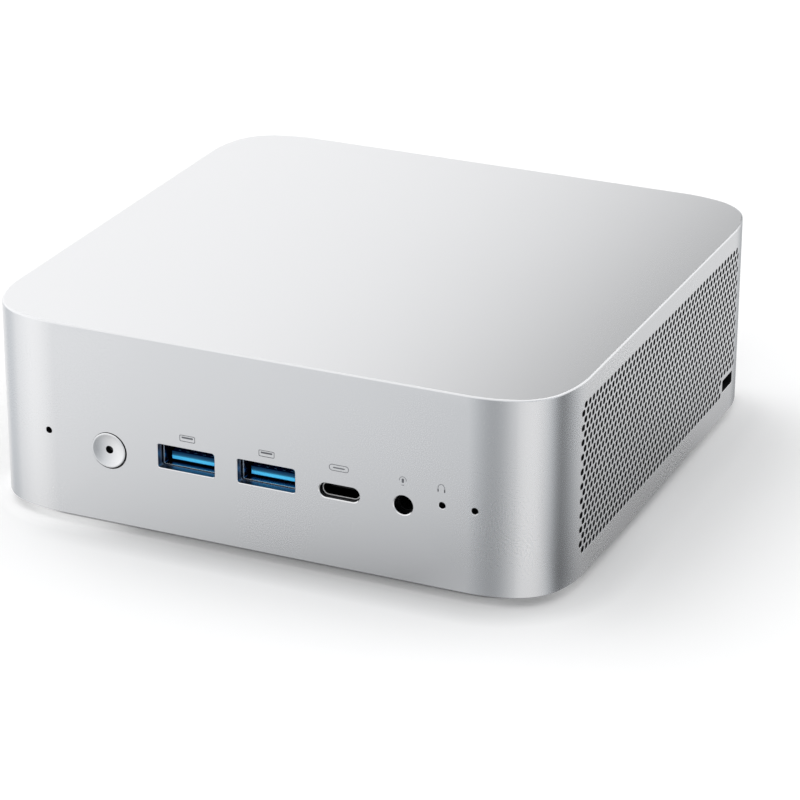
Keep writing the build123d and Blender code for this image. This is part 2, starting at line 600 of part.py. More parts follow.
with BuildPart() as ssd_heat_spreader:
    top = CARD_Z - 1.2
    block_at(SSD_X, CARD_W, (SSD_FRONT_Y + 5.0, SSD_FRONT_Y + 73.0), (top - 3.4, top))
    with BuildSketch(across(SSD_FRONT_Y)):
        with Locations((SSD_X, top - 2.6)):
            with GridLocations(2.4, 1, 8, 1):
                Rectangle(1.3, 2.0)
    extrude(amount=-SSD_LENGTH, mode=Mode.SUBTRACT)

with BuildPart() as radio_board:
    block_at(RADIO_X, CARD_W, (RADIO_FRONT_Y, RADIO_FRONT_Y + RADIO_LENGTH), (CARD_Z, CARD_Z + CARD_T))
    rod(RADIO_X, RADIO_FRONT_Y, (CARD_Z - 1, CARD_Z + CARD_T + 1), NOTCH_R, mode=Mode.SUBTRACT)

with BuildPart() as radio_shield:
    block_at(RADIO_X, 17.0, (RADIO_FRONT_Y + 9.0, RADIO_FRONT_Y + 25.0), (CARD_Z - 1.3, CARD_Z))
    fillet(radio_shield.faces().sort_by(Axis.Z)[0].edges(), 0.3)

with BuildPart() as card_standoffs:
    for x, front_y, length in CARDS:
        rod(x, front_y, (CARD_Z + CARD_T, BOARD_BOTTOM), 2.6)
        rod(x, front_y, (CARD_Z + CARD_T, BOARD_BOTTOM), SMALL_TAPPED_R, mode=Mode.SUBTRACT)

# M2 screws: one under the end of each card, and two through the blower's lid.
with BuildPart() as small_screws:
    for x, front_y, length in CARDS:
        rod(x, front_y, (CARD_Z, BOARD_BOTTOM - 0.4), SMALL_THREAD_R)
        rod(x, front_y, (CARD_Z - 0.8, CARD_Z), 2.2)
    for x, y in TRAY_SCREW_PLACES:
        rod(x, y, (TRAY_TOP - TRAY_SCREW_H, LID_TOP), SMALL_THREAD_R)
        rod(x, y, (LID_TOP, LID_TOP + 0.8), 2.2)

# Flat antennas on the inside of the cover, and their coaxial leads from the radio card.
ANTENNA_Z, ANTENNA_T = COVER_TOP, 0.4
ANTENNAS = ((-14.0, -56.5), (16.0, -56.5))
LEAD_R, LEAD_BEND_R = 0.55, 3.5
with BuildPart() as antennas:
    with BuildSketch(Plane.XY.offset(ANTENNA_Z)):
        with Locations(*ANTENNAS):
            RectangleRounded(24.0, 8.0, 1.0)
    extrude(amount=ANTENNA_T)

LEAD_START_Y = RADIO_FRONT_Y + 5.0
LEAD_LOW_Z = 9.0
with BuildPart() as antenna_leads:
    for plug_x, (end_x, end_y) in zip((RADIO_X - 7.0, RADIO_X + 7.0), ANTENNAS, strict=True):
        plug_z = CARD_Z - 1.0
        rod(plug_x, LEAD_START_Y, (plug_z, CARD_Z), 1.1)
        with BuildLine() as lead_line:
            FilletPolyline((plug_x, LEAD_START_Y, plug_z), (plug_x, LEAD_START_Y, LEAD_LOW_Z),
                           (end_x, LEAD_START_Y - 30.0, LEAD_LOW_Z), (end_x, end_y, LEAD_LOW_Z),
                           (end_x, end_y, ANTENNA_Z + ANTENNA_T), radius=LEAD_BEND_R)
        with BuildSketch(Plane(origin=(plug_x, LEAD_START_Y, plug_z), z_dir=(0, 0, -1))):
            Circle(LEAD_R)
        sweep(path=lead_line.line)

with BuildPart() as coin_cell:
    rod(CELL_X, CELL_Y, (18.4, 21.6), CELL_R)
    fillet(coin_cell.faces().filter_by(Plane.XY).edges(), 0.5)

with BuildPart() as coin_cell_holder:
    rod(CELL_X, CELL_Y, (18.4, BOARD_BOTTOM), CELL_R + 1.5)
    rod(CELL_X, CELL_Y, (18.3, 21.65), CELL_R + 0.1, mode=Mode.SUBTRACT)
    block((CELL_X - 6.0, CELL_X + 6.0), (CELL_Y - 14.0, CELL_Y - 4.0), (18.0, 21.65), mode=Mode.SUBTRACT)

# ================================================================ front ports
with BuildPart() as front_usb_a_shells:
    for x in USB_A_X:
        window(x, USB_A_Z, USB_A_OPEN[0] + 2 * SHELL_T, USB_A_OPEN[1] + 2 * SHELL_T, 0.5,
               (SHELL_Y + USB_A_DEPTH, SHELL_Y), mode=Mode.ADD)
        window(x, USB_A_Z, *USB_A_OPEN, 0.25, (SHELL_Y + USB_A_DEPTH - SHELL_T, SHELL_Y - 1))

# The insulators: a block that fills the shell's back and the tongue that carries the contacts.
BASE_D = 4.0
STACK_TONGUE_Y = PORT_FACE_Y - 1.7
with BuildPart() as usb_a_tongues:
    drop = USB_A_Z - TONGUE_Z
    back_y = SHELL_Y + USB_A_DEPTH - SHELL_T
    for x in USB_A_X:
        window(x, USB_A_Z, USB_A_OPEN[0] - 0.1, USB_A_OPEN[1] - 0.1, 0.25, (back_y, back_y - BASE_D),
               mode=Mode.ADD)
        block_at(x, TONGUE_W, (TONGUE_Y, back_y - BASE_D), (TONGUE_Z - TONGUE_T / 2, TONGUE_Z + TONGUE_T / 2))
    chamfer(usb_a_tongues.faces().filter_by(Plane.XZ).group_by(Axis.Y)[0].edges(), 0.25)
    back_y = PORT_FACE_Y - USB_A_DEPTH
    for z in STACK_Z:
        window(STACK_X, z, USB_A_OPEN[0] - 0.1, USB_A_OPEN[1] - 0.1, 0.25, (back_y + BASE_D, back_y),
               mode=Mode.ADD)
        block_at(STACK_X, TONGUE_W, (back_y + BASE_D, STACK_TONGUE_Y),
                 (z - drop - TONGUE_T / 2, z - drop + TONGUE_T / 2))

# Two rows of contacts on each tongue: five short pads in front, four long ones behind.
PAD_T = 0.1
with BuildPart() as front_usb_a_contacts:
    top = TONGUE_Z + TONGUE_T / 2
    for x in USB_A_X:
        for i in range(5):
            block_at(x + (i - 2) * 2.0, 0.7, (TONGUE_Y + 0.9, TONGUE_Y + 2.6), (top, top + PAD_T))
        for offset in (-3.5, -1.0, 1.0, 3.5):
            block_at(x + offset, 1.0, (TONGUE_Y + 3.6, TONGUE_Y + 7.8), (top, top + PAD_T))

USB_C_PLACES = ((USB_C_X, USB_C_Z, SHELL_Y, 1), (REAR_C_X, REAR_C_Z, PORT_FACE_Y, -1))
with BuildPart() as usb_c_shells:
    for x, z, mouth_y, inward in USB_C_PLACES:
        ends = sorted((mouth_y, mouth_y + inward * USB_C_DEPTH), reverse=True)
        hollow = sorted((mouth_y - inward, mouth_y + inward * (USB_C_DEPTH - SHELL_T)), reverse=True)
        with BuildSketch(across(ends[0])):
            with Locations((x, z)):
                SlotOverall(USB_C_OPEN[0] + 2 * SHELL_T, USB_C_OPEN[1] + 2 * SHELL_T)
        extrude(amount=ends[0] - ends[1])
        with BuildSketch(across(hollow[0])):
            with Locations((x, z)):
                SlotOverall(*USB_C_OPEN)
        extrude(amount=hollow[0] - hollow[1], mode=Mode.SUBTRACT)

USB_C_TONGUE = (6.69, 0.7)
with BuildPart() as usb_c_tongues:
    for x, z, mouth_y, inward in USB_C_PLACES:
        back_y = mouth_y + inward * (USB_C_DEPTH - SHELL_T)
        base_y = back_y - inward * 1.4
        tip_y = mouth_y + inward * 1.2
        low_y, high_y = sorted((base_y, back_y))
        with BuildSketch(across(high_y)):
            with Locations((x, z)):
                SlotOverall(USB_C_OPEN[0] - 0.1, USB_C_OPEN[1] - 0.1)
        extrude(amount=high_y - low_y)
        block_at(x, USB_C_TONGUE[0], sorted((tip_y, base_y)),
                 (z - USB_C_TONGUE[1] / 2, z + USB_C_TONGUE[1] / 2))

with BuildPart() as audio_jack:
    block_at(JACK_X, 7.0, (SHELL_Y + 1.0, JACK_END_Y), (JACK_Z - 3.2, BOARD_BOTTOM - TOUCH))
    level_rod(JACK_X, JACK_Z, (SHELL_Y + 1.0, SHELL_Y), 2.6)
    level_rod(JACK_X, JACK_Z, (JACK_END_Y - 1.0, SHELL_Y - 1.0), JACK_BORE_R, mode=Mode.SUBTRACT)

# A turned cap with a dished face. Its flange stays behind the wall, its tail pushes the switch.
FLANGE_R, FLANGE_Y, FLANGE_T, TAIL_R = 5.0, FRONT_Y + WALL + 0.1, 0.9, 1.7
SWITCH_GAP = 0.02
PLUNGER_Y = -59.5
with BuildPart() as power_button:
    face_y = FRONT_Y - BUTTON_PROUD
    with BuildSketch(Plane.XY.offset(BUTTON_Z)):
        with BuildLine():
            sphere_r = (DISH_R**2 + DISH_DEPTH**2) / (2 * DISH_DEPTH)
            floor_y = face_y + DISH_DEPTH - (sphere_r - math.sqrt(sphere_r**2 - LIGHT_R**2))
            middle_r = (DISH_R + LIGHT_R) / 2
            middle_y = face_y + DISH_DEPTH - (sphere_r - math.sqrt(sphere_r**2 - middle_r**2))
            ThreePointArc((BUTTON_X + LIGHT_R, floor_y), (BUTTON_X + middle_r, middle_y),
                          (BUTTON_X + DISH_R, face_y))
            Polyline((BUTTON_X + DISH_R, face_y), (BUTTON_X + BUTTON_R - 0.2, face_y),
                     (BUTTON_X + BUTTON_R, face_y + 0.2), (BUTTON_X + BUTTON_R, FLANGE_Y),
                     (BUTTON_X + FLANGE_R, FLANGE_Y), (BUTTON_X + FLANGE_R, FLANGE_Y + FLANGE_T),
                     (BUTTON_X + TAIL_R, FLANGE_Y + FLANGE_T), (BUTTON_X + TAIL_R, PLUNGER_Y - SWITCH_GAP),
                     (BUTTON_X + LIGHT_R, PLUNGER_Y - SWITCH_GAP), (BUTTON_X + LIGHT_R, floor_y))
        make_face()
    revolve(axis=Axis((BUTTON_X, 0, BUTTON_Z), (0, 1, 0)))

with BuildPart() as button_light_pipe:
    level_rod(BUTTON_X, BUTTON_Z, (PLUNGER_Y - 0.1, FRONT_Y + 1.2), LIGHT_R - 0.01)

# Side-pressed switches hanging from the board, each with a sliding plunger.
POWER_SWITCH_Y = (-58.5, -54.5)
POWER_PLUNGER_R, POWER_PLUNGER_END = 1.7, -57.4
with BuildPart() as power_switch:
    block_at(BUTTON_X, 6.0, POWER_SWITCH_Y, (BUTTON_Z - 3.0, BOARD_BOTTOM - TOUCH))
    level_rod(BUTTON_X, BUTTON_Z, (POWER_PLUNGER_END + 0.5, POWER_SWITCH_Y[0] - 1), POWER_PLUNGER_R + 0.05,
              mode=Mode.SUBTRACT)

with BuildPart() as power_switch_plunger:
    level_rod(BUTTON_X, BUTTON_Z, (POWER_PLUNGER_END, PLUNGER_Y), POWER_PLUNGER_R)

RESET_SWITCH_Y = (-61.4, -58.6)
RESET_PLUNGER_Y, RESET_PLUNGER_R = (-60.6, -62.2), 0.8
with BuildPart() as reset_switch:
    block_at(RESET_X, 4.0, RESET_SWITCH_Y, (RESET_Z - 1.6, BOARD_BOTTOM - TOUCH))
    level_rod(RESET_X, RESET_Z, (RESET_PLUNGER_Y[0] + 0.4, RESET_SWITCH_Y[0] - 1), RESET_PLUNGER_R + 0.05,
              mode=Mode.SUBTRACT)

with BuildPart() as reset_switch_plunger:
    level_rod(RESET_X, RESET_Z, RESET_PLUNGER_Y, RESET_PLUNGER_R)

# A microphone in a rubber boot behind each outer pinhole.
MIC_FACE_Y = FRONT_Y + WALL + 0.4
with BuildPart() as microphones:
    for x in MIC_X:
        block_at(x, 3.8, (MIC_FACE_Y, MIC_FACE_Y + 1.1), (MIC_Z - 1.7, MIC_Z + 1.7))
        level_rod(x, MIC_Z, (MIC_FACE_Y + 0.6, MIC_FACE_Y - 1), 0.5, mode=Mode.SUBTRACT)

# ================================================================ rear ports
DC_DEPTH, DC_BORE_DEPTH = 14.0, 10.0
with BuildPart() as dc_inlet:
    block_at(DC_X, DC_W, (PORT_FACE_Y - DC_DEPTH, PORT_FACE_Y),
             (BOARD_BOTTOM - TOUCH - DC_H, BOARD_BOTTOM - TOUCH))
    level_rod(DC_X, DC_Z, (PORT_FACE_Y + 1, PORT_FACE_Y - DC_BORE_DEPTH), DC_BORE_R, mode=Mode.SUBTRACT)

with BuildPart() as dc_inlet_pin:
    level_rod(DC_X, DC_Z, (PORT_FACE_Y - 1.0, PORT_FACE_Y - DC_BORE_DEPTH), DC_PIN_R)
    fillet(dc_inlet_pin.faces().sort_by(Axis.Y)[-1].edges(), 0.4)

HDMI_OPEN = (14.0, 4.6)
HDMI_Z = BOARD_BOTTOM - TOUCH - HDMI_H / 2
with BuildPart() as hdmi_shells:
    for x in HDMI_X:
        window(x, HDMI_Z, HDMI_W, HDMI_H, 0.6, (PORT_FACE_Y, PORT_FACE_Y - HDMI_DEPTH), mode=Mode.ADD)
        with BuildSketch(across(PORT_FACE_Y + 1)):
            with BuildLine():
                half_w, half_h = HDMI_OPEN[0] / 2, HDMI_OPEN[1] / 2
                Polyline((x - half_w, HDMI_Z + half_h), (x + half_w, HDMI_Z + half_h),
                         (x + half_w, HDMI_Z - 0.4), (x + half_w - 1.8, HDMI_Z - half_h),
                         (x - half_w + 1.8, HDMI_Z - half_h), (x - half_w, HDMI_Z - 0.4), close=True)
            make_face()
        extrude(amount=HDMI_DEPTH + 0.7, mode=Mode.SUBTRACT)

with BuildPart() as hdmi_tongues:
    for x in HDMI_X:
        back_y = PORT_FACE_Y - HDMI_DEPTH + 0.3
        block_at(x, 9.6, (back_y, back_y + 2.0), (HDMI_Z - 1.9, HDMI_Z + 2.2))
        block_at(x, 9.6, (back_y + 2.0, PORT_FACE_Y - 1.5), (HDMI_Z - 0.2, HDMI_Z + 1.2))

RJ45_BASE = BOARD_BOTTOM - TOUCH - RJ45_H
LATCH_W, LATCH_H = 6.2, 2.6
with BuildPart() as network_jacks:
    for x in RJ45_X:
        block_at(x, RJ45_W, (PORT_FACE_Y - RJ45_DEPTH, PORT_FACE_Y), (RJ45_BASE, RJ45_BASE + RJ45_H))
        low = RJ45_BASE + 1.4
        inner = (PORT_FACE_Y - RJ45_OPEN_DEPTH, PORT_FACE_Y + 1)
        block_at(x, RJ45_OPEN_W, inner, (low + 1.0, low + 1.0 + RJ45_OPEN_H), mode=Mode.SUBTRACT)
        block_at(x, LATCH_W, inner, (low + RJ45_OPEN_H, low + 1.0 + RJ45_OPEN_H + LATCH_H - 1.0),
                 mode=Mode.SUBTRACT)

with BuildPart() as rear_usb_a_shells:
    block_at(STACK_X, STACK_W, (PORT_FACE_Y - STACK_DEPTH, PORT_FACE_Y),
             (BOARD_BOTTOM - TOUCH - STACK_H, BOARD_BOTTOM - TOUCH))
    for z in STACK_Z:
        window(STACK_X, z, *USB_A_OPEN, 0.25, (PORT_FACE_Y + 1, PORT_FACE_Y - USB_A_DEPTH))

pieces = {
    "housing": housing,
    "bottom_cover": bottom_cover,
    "rubber_feet": rubber_feet,
    "cover_screws": cover_screws,
    "bracket_inserts": bracket_inserts,
    "rear_panel": rear_panel,
    "standoffs": standoffs,
    "motherboard": motherboard,
    "chokes": chokes,
    "capacitors": capacitors,
    "board_chips": board_chips,
    "cpu_package": cpu_package,
    "cpu_die": cpu_die,
    "cold_plate": cold_plate,
    "cooler_springs": cooler_springs,
    "cooler_backplate": cooler_backplate,
    "cooler_screws": cooler_screws,
    "heat_pipes": heat_pipes,
    "fin_stack": fin_stack,
    "fan_tray": fan_tray,
    "fan_lid": fan_lid,
    "fan_bearing": fan_bearing,
    "fan_stator": fan_stator,
    "fan_impeller": fan_impeller,
    "fan_magnet": fan_magnet,
    "fan_shaft": fan_shaft,
    "memory_sockets": memory_sockets,
    "memory_boards": memory_boards,
    "memory_chips": memory_chips,
    "card_sockets": card_sockets,
    "card_standoffs": card_standoffs,
    "small_screws": small_screws,
    "ssd_board": ssd_board,
    "ssd_chips": ssd_chips,
    "ssd_heat_spreader": ssd_heat_spreader,
    "radio_board": radio_board,
    "radio_shield": radio_shield,
    "antennas": antennas,
    "antenna_leads": antenna_leads,
    "coin_cell": coin_cell,
    "coin_cell_holder": coin_cell_holder,
    "front_usb_a_shells": front_usb_a_shells,
    "usb_a_tongues": usb_a_tongues,
    "front_usb_a_contacts": front_usb_a_contacts,
    "usb_c_shells": usb_c_shells,
    "usb_c_tongues": usb_c_tongues,
    "audio_jack": audio_jack,
    "power_button": power_button,
    "button_light_pipe": button_light_pipe,
    "power_switch": power_switch,
    "power_switch_plunger": power_switch_plunger,
    "reset_switch": reset_switch,
    "reset_switch_plunger": reset_switch_plunger,
    "microphones": microphones,
    "dc_inlet": dc_inlet,
    "dc_inlet_pin": dc_inlet_pin,
    "hdmi_shells": hdmi_shells,
    "hdmi_tongues": hdmi_tongues,
    "network_jacks": network_jacks,
    "rear_usb_a_shells": rear_usb_a_shells,
}

os.makedirs("parts", exist_ok=True)
for label, piece in pieces.items():
    piece.part.label = label
    export_step(piece.part, f"parts/{label}.step")
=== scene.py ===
import math

import bpy
from mathutils import Matrix, Vector
from mathutils.geometry import delaunay_2d_cdt


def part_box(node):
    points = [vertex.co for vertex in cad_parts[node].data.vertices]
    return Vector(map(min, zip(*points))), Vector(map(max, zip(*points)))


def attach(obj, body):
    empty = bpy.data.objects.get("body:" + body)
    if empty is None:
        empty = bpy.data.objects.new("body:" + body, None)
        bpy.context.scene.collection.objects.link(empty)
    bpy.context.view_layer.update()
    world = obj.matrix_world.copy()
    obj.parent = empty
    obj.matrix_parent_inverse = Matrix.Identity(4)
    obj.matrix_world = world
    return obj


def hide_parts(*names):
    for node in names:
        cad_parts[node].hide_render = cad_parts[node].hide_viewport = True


MM = 0.001

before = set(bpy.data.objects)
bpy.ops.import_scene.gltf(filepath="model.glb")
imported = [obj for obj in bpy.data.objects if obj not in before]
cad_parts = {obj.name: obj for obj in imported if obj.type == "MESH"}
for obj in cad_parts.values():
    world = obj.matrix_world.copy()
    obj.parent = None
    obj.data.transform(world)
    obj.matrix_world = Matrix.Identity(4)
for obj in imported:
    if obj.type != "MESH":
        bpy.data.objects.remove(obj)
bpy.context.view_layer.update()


def box_mm(node):
    """Lowest and highest corner of a CAD node, in millimetres."""
    low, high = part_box(node)
    return low / MM, high / MM


case_low, case_high = box_mm("housing")
SIDE_X = case_high.x
REAR_Y = case_high.y
FRONT_Y = case_low.y
BOTTOM_Z = case_low.z
TOP_Z = case_high.z
WALL = 2.0
CEILING_Z = TOP_Z - WALL
# Centres on the front and rear walls are (x, z); cuts are (width, height, corner radius) or begin with z.
BUTTON_AT, BUTTON_HOLE_R = (-35.35, 19.1), 4.25
USB_A_X, USB_A_CUT = (-16.8, 2.2), (20.15, 13.55, 5.5, 0.55)
USB_C_AT, USB_C_CUT = (19.25, 19.55), (9.3, 3.25, 1.6249)
AUDIO_AT, AUDIO_R = (33.9, 19.5), 2.15
PINHOLES, PINHOLE_R = ((-50.2, 21.2), (50.0, 21.2), (42.7, 21.15)), 0.75
PANEL_CUT = (24.2, 103.0, 37.6, 3.0)
REAR_USB_C_AT = (18.6, 20.5)
NETWORK_X = (4.9, -12.3)


# ---------------------------------------------------------------- shader nodes
def node_tree(owner):
    """The node tree of a material or world, emptied."""
    owner.use_nodes = True
    owner.node_tree.nodes.clear()
    return owner.node_tree


def feed(node, inputs):
    """Sets a node's inputs: each value is a number, a colour or the socket to link."""
    for key, value in inputs.items():
        if isinstance(value, bpy.types.NodeSocket):
            node.id_data.links.new(value, node.inputs[key])
        else:
            node.inputs[key].default_value = value


def add_node(tree, kind, inputs=None, **settings):
    node = tree.nodes.new(kind)
    for key, value in settings.items():
        setattr(node, key, value)
    feed(node, inputs or {})
    return node


def maths(tree, operation, *values):
    """One arithmetic node over numbers or sockets."""
    return add_node(tree, "ShaderNodeMath", dict(enumerate(values)), operation=operation).outputs[0]


def remap(tree, value, start, end, low=0.0, high=1.0, curve="LINEAR"):
    """The value carried from start..end to low..high, and held at both ends."""
    return add_node(tree, "ShaderNodeMapRange", {
        "Value": value, "From Min": start, "From Max": end, "To Min": low, "To Max": high,
    }, interpolation_type=curve).outputs[0]


def blend(tree, share, start, end, kind="MIX"):
    """A colour between two; each colour is a triple or a socket."""
    inputs = {0: share}
    for key, colour in ((6, start), (7, end)):
        inputs[key] = colour if isinstance(colour, bpy.types.NodeSocket) else (*colour, 1.0)
    return add_node(tree, "ShaderNodeMix", inputs, data_type="RGBA", blend_type=kind).outputs[2]


def bump(tree, height, strength, depth, normal=None):
    """A surface normal tilted by height, whose full range is depth in mm."""
    inputs = {"Height": height, "Strength": strength, "Distance": depth * MM}
    if normal:
        inputs["Normal"] = normal
    return add_node(tree, "ShaderNodeBump", inputs).outputs[0]


def object_place(tree):
    return add_node(tree, "ShaderNodeTexCoord").outputs["Object"]


def axes(tree, vector):
    """The x, y and z of a vector."""
    return add_node(tree, "ShaderNodeSeparateXYZ", {0: vector}).outputs


def ramp(tree, factor, stops):
    """A colour ramp through (position, grey level or colour) stops."""
    node = add_node(tree, "ShaderNodeValToRGB", {0: factor})
    elements = node.color_ramp.elements
    while len(elements) > 1:
        elements.remove(elements[-1])
    for i, (position, value) in enumerate(stops):
        element = elements[0] if i == 0 else elements.new(position)
        element.position = position
        colour = (value,) * 3 if isinstance(value, (int, float)) else value
        element.color = (*colour, 1.0)
    return node.outputs["Color"]


def ramp_along(tree, place, stops):
    """A ramp over a length in metres; stops are (mm, grey level or colour)."""
    low, high = stops[0][0], stops[-1][0]
    share = remap(tree, place, low * MM, high * MM)
    return ramp(tree, share, [((at - low) / (high - low), value) for at, value in stops])


def ramp_around(tree, angle, stops):
    """A ramp over an azimuth, closed at 180; stops are (degrees, grey level or colour)."""
    share = maths(tree, "FRACT", maths(tree, "ADD", maths(tree, "MULTIPLY", angle, 1 / math.tau), 1.5))
    return ramp(tree, share, [((degrees + 180) / 360, value) for degrees, value in stops])


def rgb(code):
    """A linear colour from an sRGB triple of 0 to 255."""
    def linear(c):
        c /= 255
        return c / 12.92 if c <= 0.04045 else ((c + 0.055) / 1.055) ** 2.4
    return tuple(linear(c) for c in code)


# ---------------------------------------------------------------- finishes, with painted shade and light
def surface(name, colour, metallic=0.0, roughness=0.55, grain=3000.0, relief=0.2, depth=0.02,
            tint=0.1, patch=60.0, wear=0.05, stretch=(1, 1, 1), coat=0.0, specular=0.5, extra=None):
    """A procedural finish: fine grain in the relief, slow variation in tint and roughness.

    grain and patch are noise scales per metre; depth is the grain's height in mm.
    """
    material = bpy.data.materials.new(name)
    tree = node_tree(material)
    coords = object_place(tree)
    mapped = add_node(tree, "ShaderNodeMapping", {"Vector": coords, "Scale": stretch}).outputs[0]
    fine = add_node(tree, "ShaderNodeTexNoise", {
        "Vector": mapped, "Scale": grain, "Detail": 2.0, "Roughness": 0.6}).outputs[0]
    slow = add_node(tree, "ShaderNodeTexNoise", {"Vector": coords, "Scale": patch, "Detail": 3.0}).outputs[0]
    both = maths(tree, "ADD", maths(tree, "MULTIPLY", fine, FINE_SHARE),
                 maths(tree, "MULTIPLY", slow, 1 - FINE_SHARE))
    low = tuple(c * (1 - tint) for c in colour)
    high = tuple(min(1.0, c * (1 + tint)) for c in colour)
    tone = ramp(tree, both, [(NOISE_LOW, low), (NOISE_HIGH, high)])
    normal = bump(tree, fine, relief, depth)
    least, most = max(0.02, roughness - wear), min(1.0, roughness + wear)
    shader = add_node(tree, "ShaderNodeBsdfPrincipled", {
        "Base Color": tone, "Metallic": metallic, "Normal": normal, "Specular IOR Level": specular,
        "Roughness": remap(tree, both, NOISE_LOW, NOISE_HIGH, least, most),
        "Coat Weight": coat, "Coat Roughness": 0.12,
    })
    add_node(tree, "ShaderNodeOutputMaterial", {"Surface": shader.outputs[0]})
    if extra:
        extra(tree, shader, coords, tone, normal)
    return material


def metal(name, colour, **finish):
    """A bare metal, smoother and more even than surface() is by itself."""
    usual = {"metallic": 1.0, "roughness": 0.24, "grain": 1500.0, "relief": 0.1, "tint": 0.05}
    return surface(name, colour, **{**usual, **finish})


NOISE_LOW, NOISE_HIGH, FINE_SHARE = 0.3, 0.7, 0.45
TURNING_DEPTH, TRACK_DEPTH = 0.01, 0.03


def turned(centre, spacing, strength):
    """An extra for surface(): concentric turning marks round a Y axis through centre, in mm."""
    def apply(tree, shader, coords, tone, normal):
        local = add_node(tree, "ShaderNodeMapping", {
            "Vector": coords, "Scale": (1, 0, 1), "Location": (-centre[0] * MM, 0, -centre[1] * MM),
        }).outputs[0]
        radius = add_node(tree, "ShaderNodeVectorMath", {0: local}, operation="LENGTH").outputs["Value"]
        rings = add_node(tree, "ShaderNodeTexNoise", {
            "W": maths(tree, "MULTIPLY", radius, 1 / (spacing * MM)), "Scale": 1.0, "Detail": 3.0,
        }, noise_dimensions="1D").outputs[0]
        feed(shader, {
            "Normal": bump(tree, rings, strength, TURNING_DEPTH, normal), "Anisotropic": 0.65,
            "Tangent": add_node(tree, "ShaderNodeTangent", direction_type="RADIAL", axis="Y").outputs[0]})
    return apply


def traces(dark, light):
    """An extra for surface(): copper tracks and gold vias under a circuit board's lacquer."""
    def apply(tree, shader, coords, tone, normal):
        cells = add_node(tree, "ShaderNodeTexVoronoi", {"Vector": coords, "Scale": 260.0, "Randomness": 0.55},
                         distance="MANHATTAN", feature="F1").outputs["Distance"]
        tracks = maths(tree, "GREATER_THAN", maths(tree, "PINGPONG", cells, 0.14), 0.085)
        pads = add_node(tree, "ShaderNodeTexVoronoi", {"Vector": coords, "Scale": 700.0}).outputs["Distance"]
        vias = maths(tree, "LESS_THAN", pads, 0.16)
        feed(shader, {"Base Color": blend(tree, vias, blend(tree, tracks, dark, light), (0.55, 0.42, 0.16)),
                      "Normal": bump(tree, tracks, 0.4, TRACK_DEPTH, normal)})
    return apply


def along(axis, stops):
    """An extra for surface(): the tone is multiplied by a ramp along an object axis, with stops in mm."""
    def apply(tree, shader, coords, tone, normal):
        shade = ramp_along(tree, axes(tree, coords)[axis], stops)
        feed(shader, {"Base Color": blend(tree, 1.0, tone, shade, "MULTIPLY")})
    return apply


# Painted light on the front USB-A tongues: the lit band across their ends, by height in mm.
TONGUE_END_Y, TONGUE_END_REACH = -62.05, 0.25
TONGUE_PAINTED_LIGHT_BAND = [(17.9, 0.08), (18.1, 0.25), (18.26, 0.95), (18.82, 1.0), (19.06, 0.30), (19.34, 0.10),
               (19.9, 0.06)]


def tongue_painted_light(tree, shader, coords, tone, normal):
    """An extra for surface(): a painted highlight and painted glow in a band across the front tongues' ends,
    painted shade on the rest of them; rear ones are plain blue.
    """
    place = axes(tree, coords)
    from_end = maths(tree, "ABSOLUTE", maths(tree, "SUBTRACT", place[1], TONGUE_END_Y * MM))
    facing = maths(tree, "LESS_THAN", from_end, TONGUE_END_REACH * MM)
    band = maths(tree, "MULTIPLY", ramp_along(tree, place[2], TONGUE_PAINTED_LIGHT_BAND), facing)
    rear = maths(tree, "GREATER_THAN", place[1], 0.0)
    lit = blend(tree, band, rgb((3, 28, 84)), tone)
    feed(shader, {"Base Color": blend(tree, rear, lit, rgb((24, 92, 170))),
                  "Emission Color": (0.03, 0.22, 0.75, 1),
                  "Emission Strength": maths(tree, "MULTIPLY", band, 0.5)})


def striped(axis, pitch, share, across, low, high, colour):
    """An extra for surface(): plated strips spaced along an axis, from low to high mm on the axis across."""
    def apply(tree, shader, coords, tone, normal):
        place = axes(tree, coords)
        wave = maths(tree, "FRACT", maths(tree, "MULTIPLY", place[axis], 1 / (pitch * MM)))
        inside_ends = maths(tree, "MULTIPLY", maths(tree, "GREATER_THAN", place[across], low * MM),
                            maths(tree, "LESS_THAN", place[across], high * MM))
        mask = maths(tree, "MULTIPLY", maths(tree, "LESS_THAN", wave, share), inside_ends)
        feed(shader, {"Base Color": blend(tree, mask, tone, colour), "Metallic": mask})
    return apply


def light_bar(centres, size):
    """An extra for surface(): small windows at (x, z, colour) on the outer face, in mm."""
    def apply(tree, shader, coords, tone, normal):
        place = axes(tree, coords)
        shown = tone
        for x, z, colour in centres:
            past = []
            for axis, middle, extent in ((0, x, size[0]), (2, z, size[1])):
                offset = maths(tree, "ABSOLUTE", maths(tree, "SUBTRACT", place[axis], middle * MM))
                past.append(maths(tree, "SUBTRACT", offset, extent / 2 * MM))
            shown = blend(tree, maths(tree, "LESS_THAN", maths(tree, "MAXIMUM", *past), 0.0), shown, colour)
        feed(shader, {"Base Color": shown})
    return apply


SHELL_TINT = (0.90, 0.905, 0.92)
# painted shade: near-black walls inside the USB-C and audio cut-outs, standing in for the shade deep in them
inner_painted_shade = metal("shaded_cut_out_walls", (0.035, 0.037, 0.042), roughness=0.4, grain=3000, relief=0.15,
                     depth=0.008, tint=0.1)
shell_finish = metal("bead_blasted_aluminium", SHELL_TINT, roughness=0.27, grain=6500, relief=0.012,
                     depth=0.01, tint=0.008, patch=25.0, wear=0.01)
top_finish = metal("fine_blasted_aluminium", SHELL_TINT, roughness=0.2, grain=6500, relief=0.01, depth=0.01,
                   tint=0.008, patch=25.0, wear=0.008)
# painted shade on the USB-A cut-out walls, tinted navy as a painted reflection of the blue tongues
reveal_painted_shade = metal("cut_out_walls", (0.20, 0.27, 0.38), roughness=0.34, grain=3000, relief=0.15,
                      depth=0.008, tint=0.08)
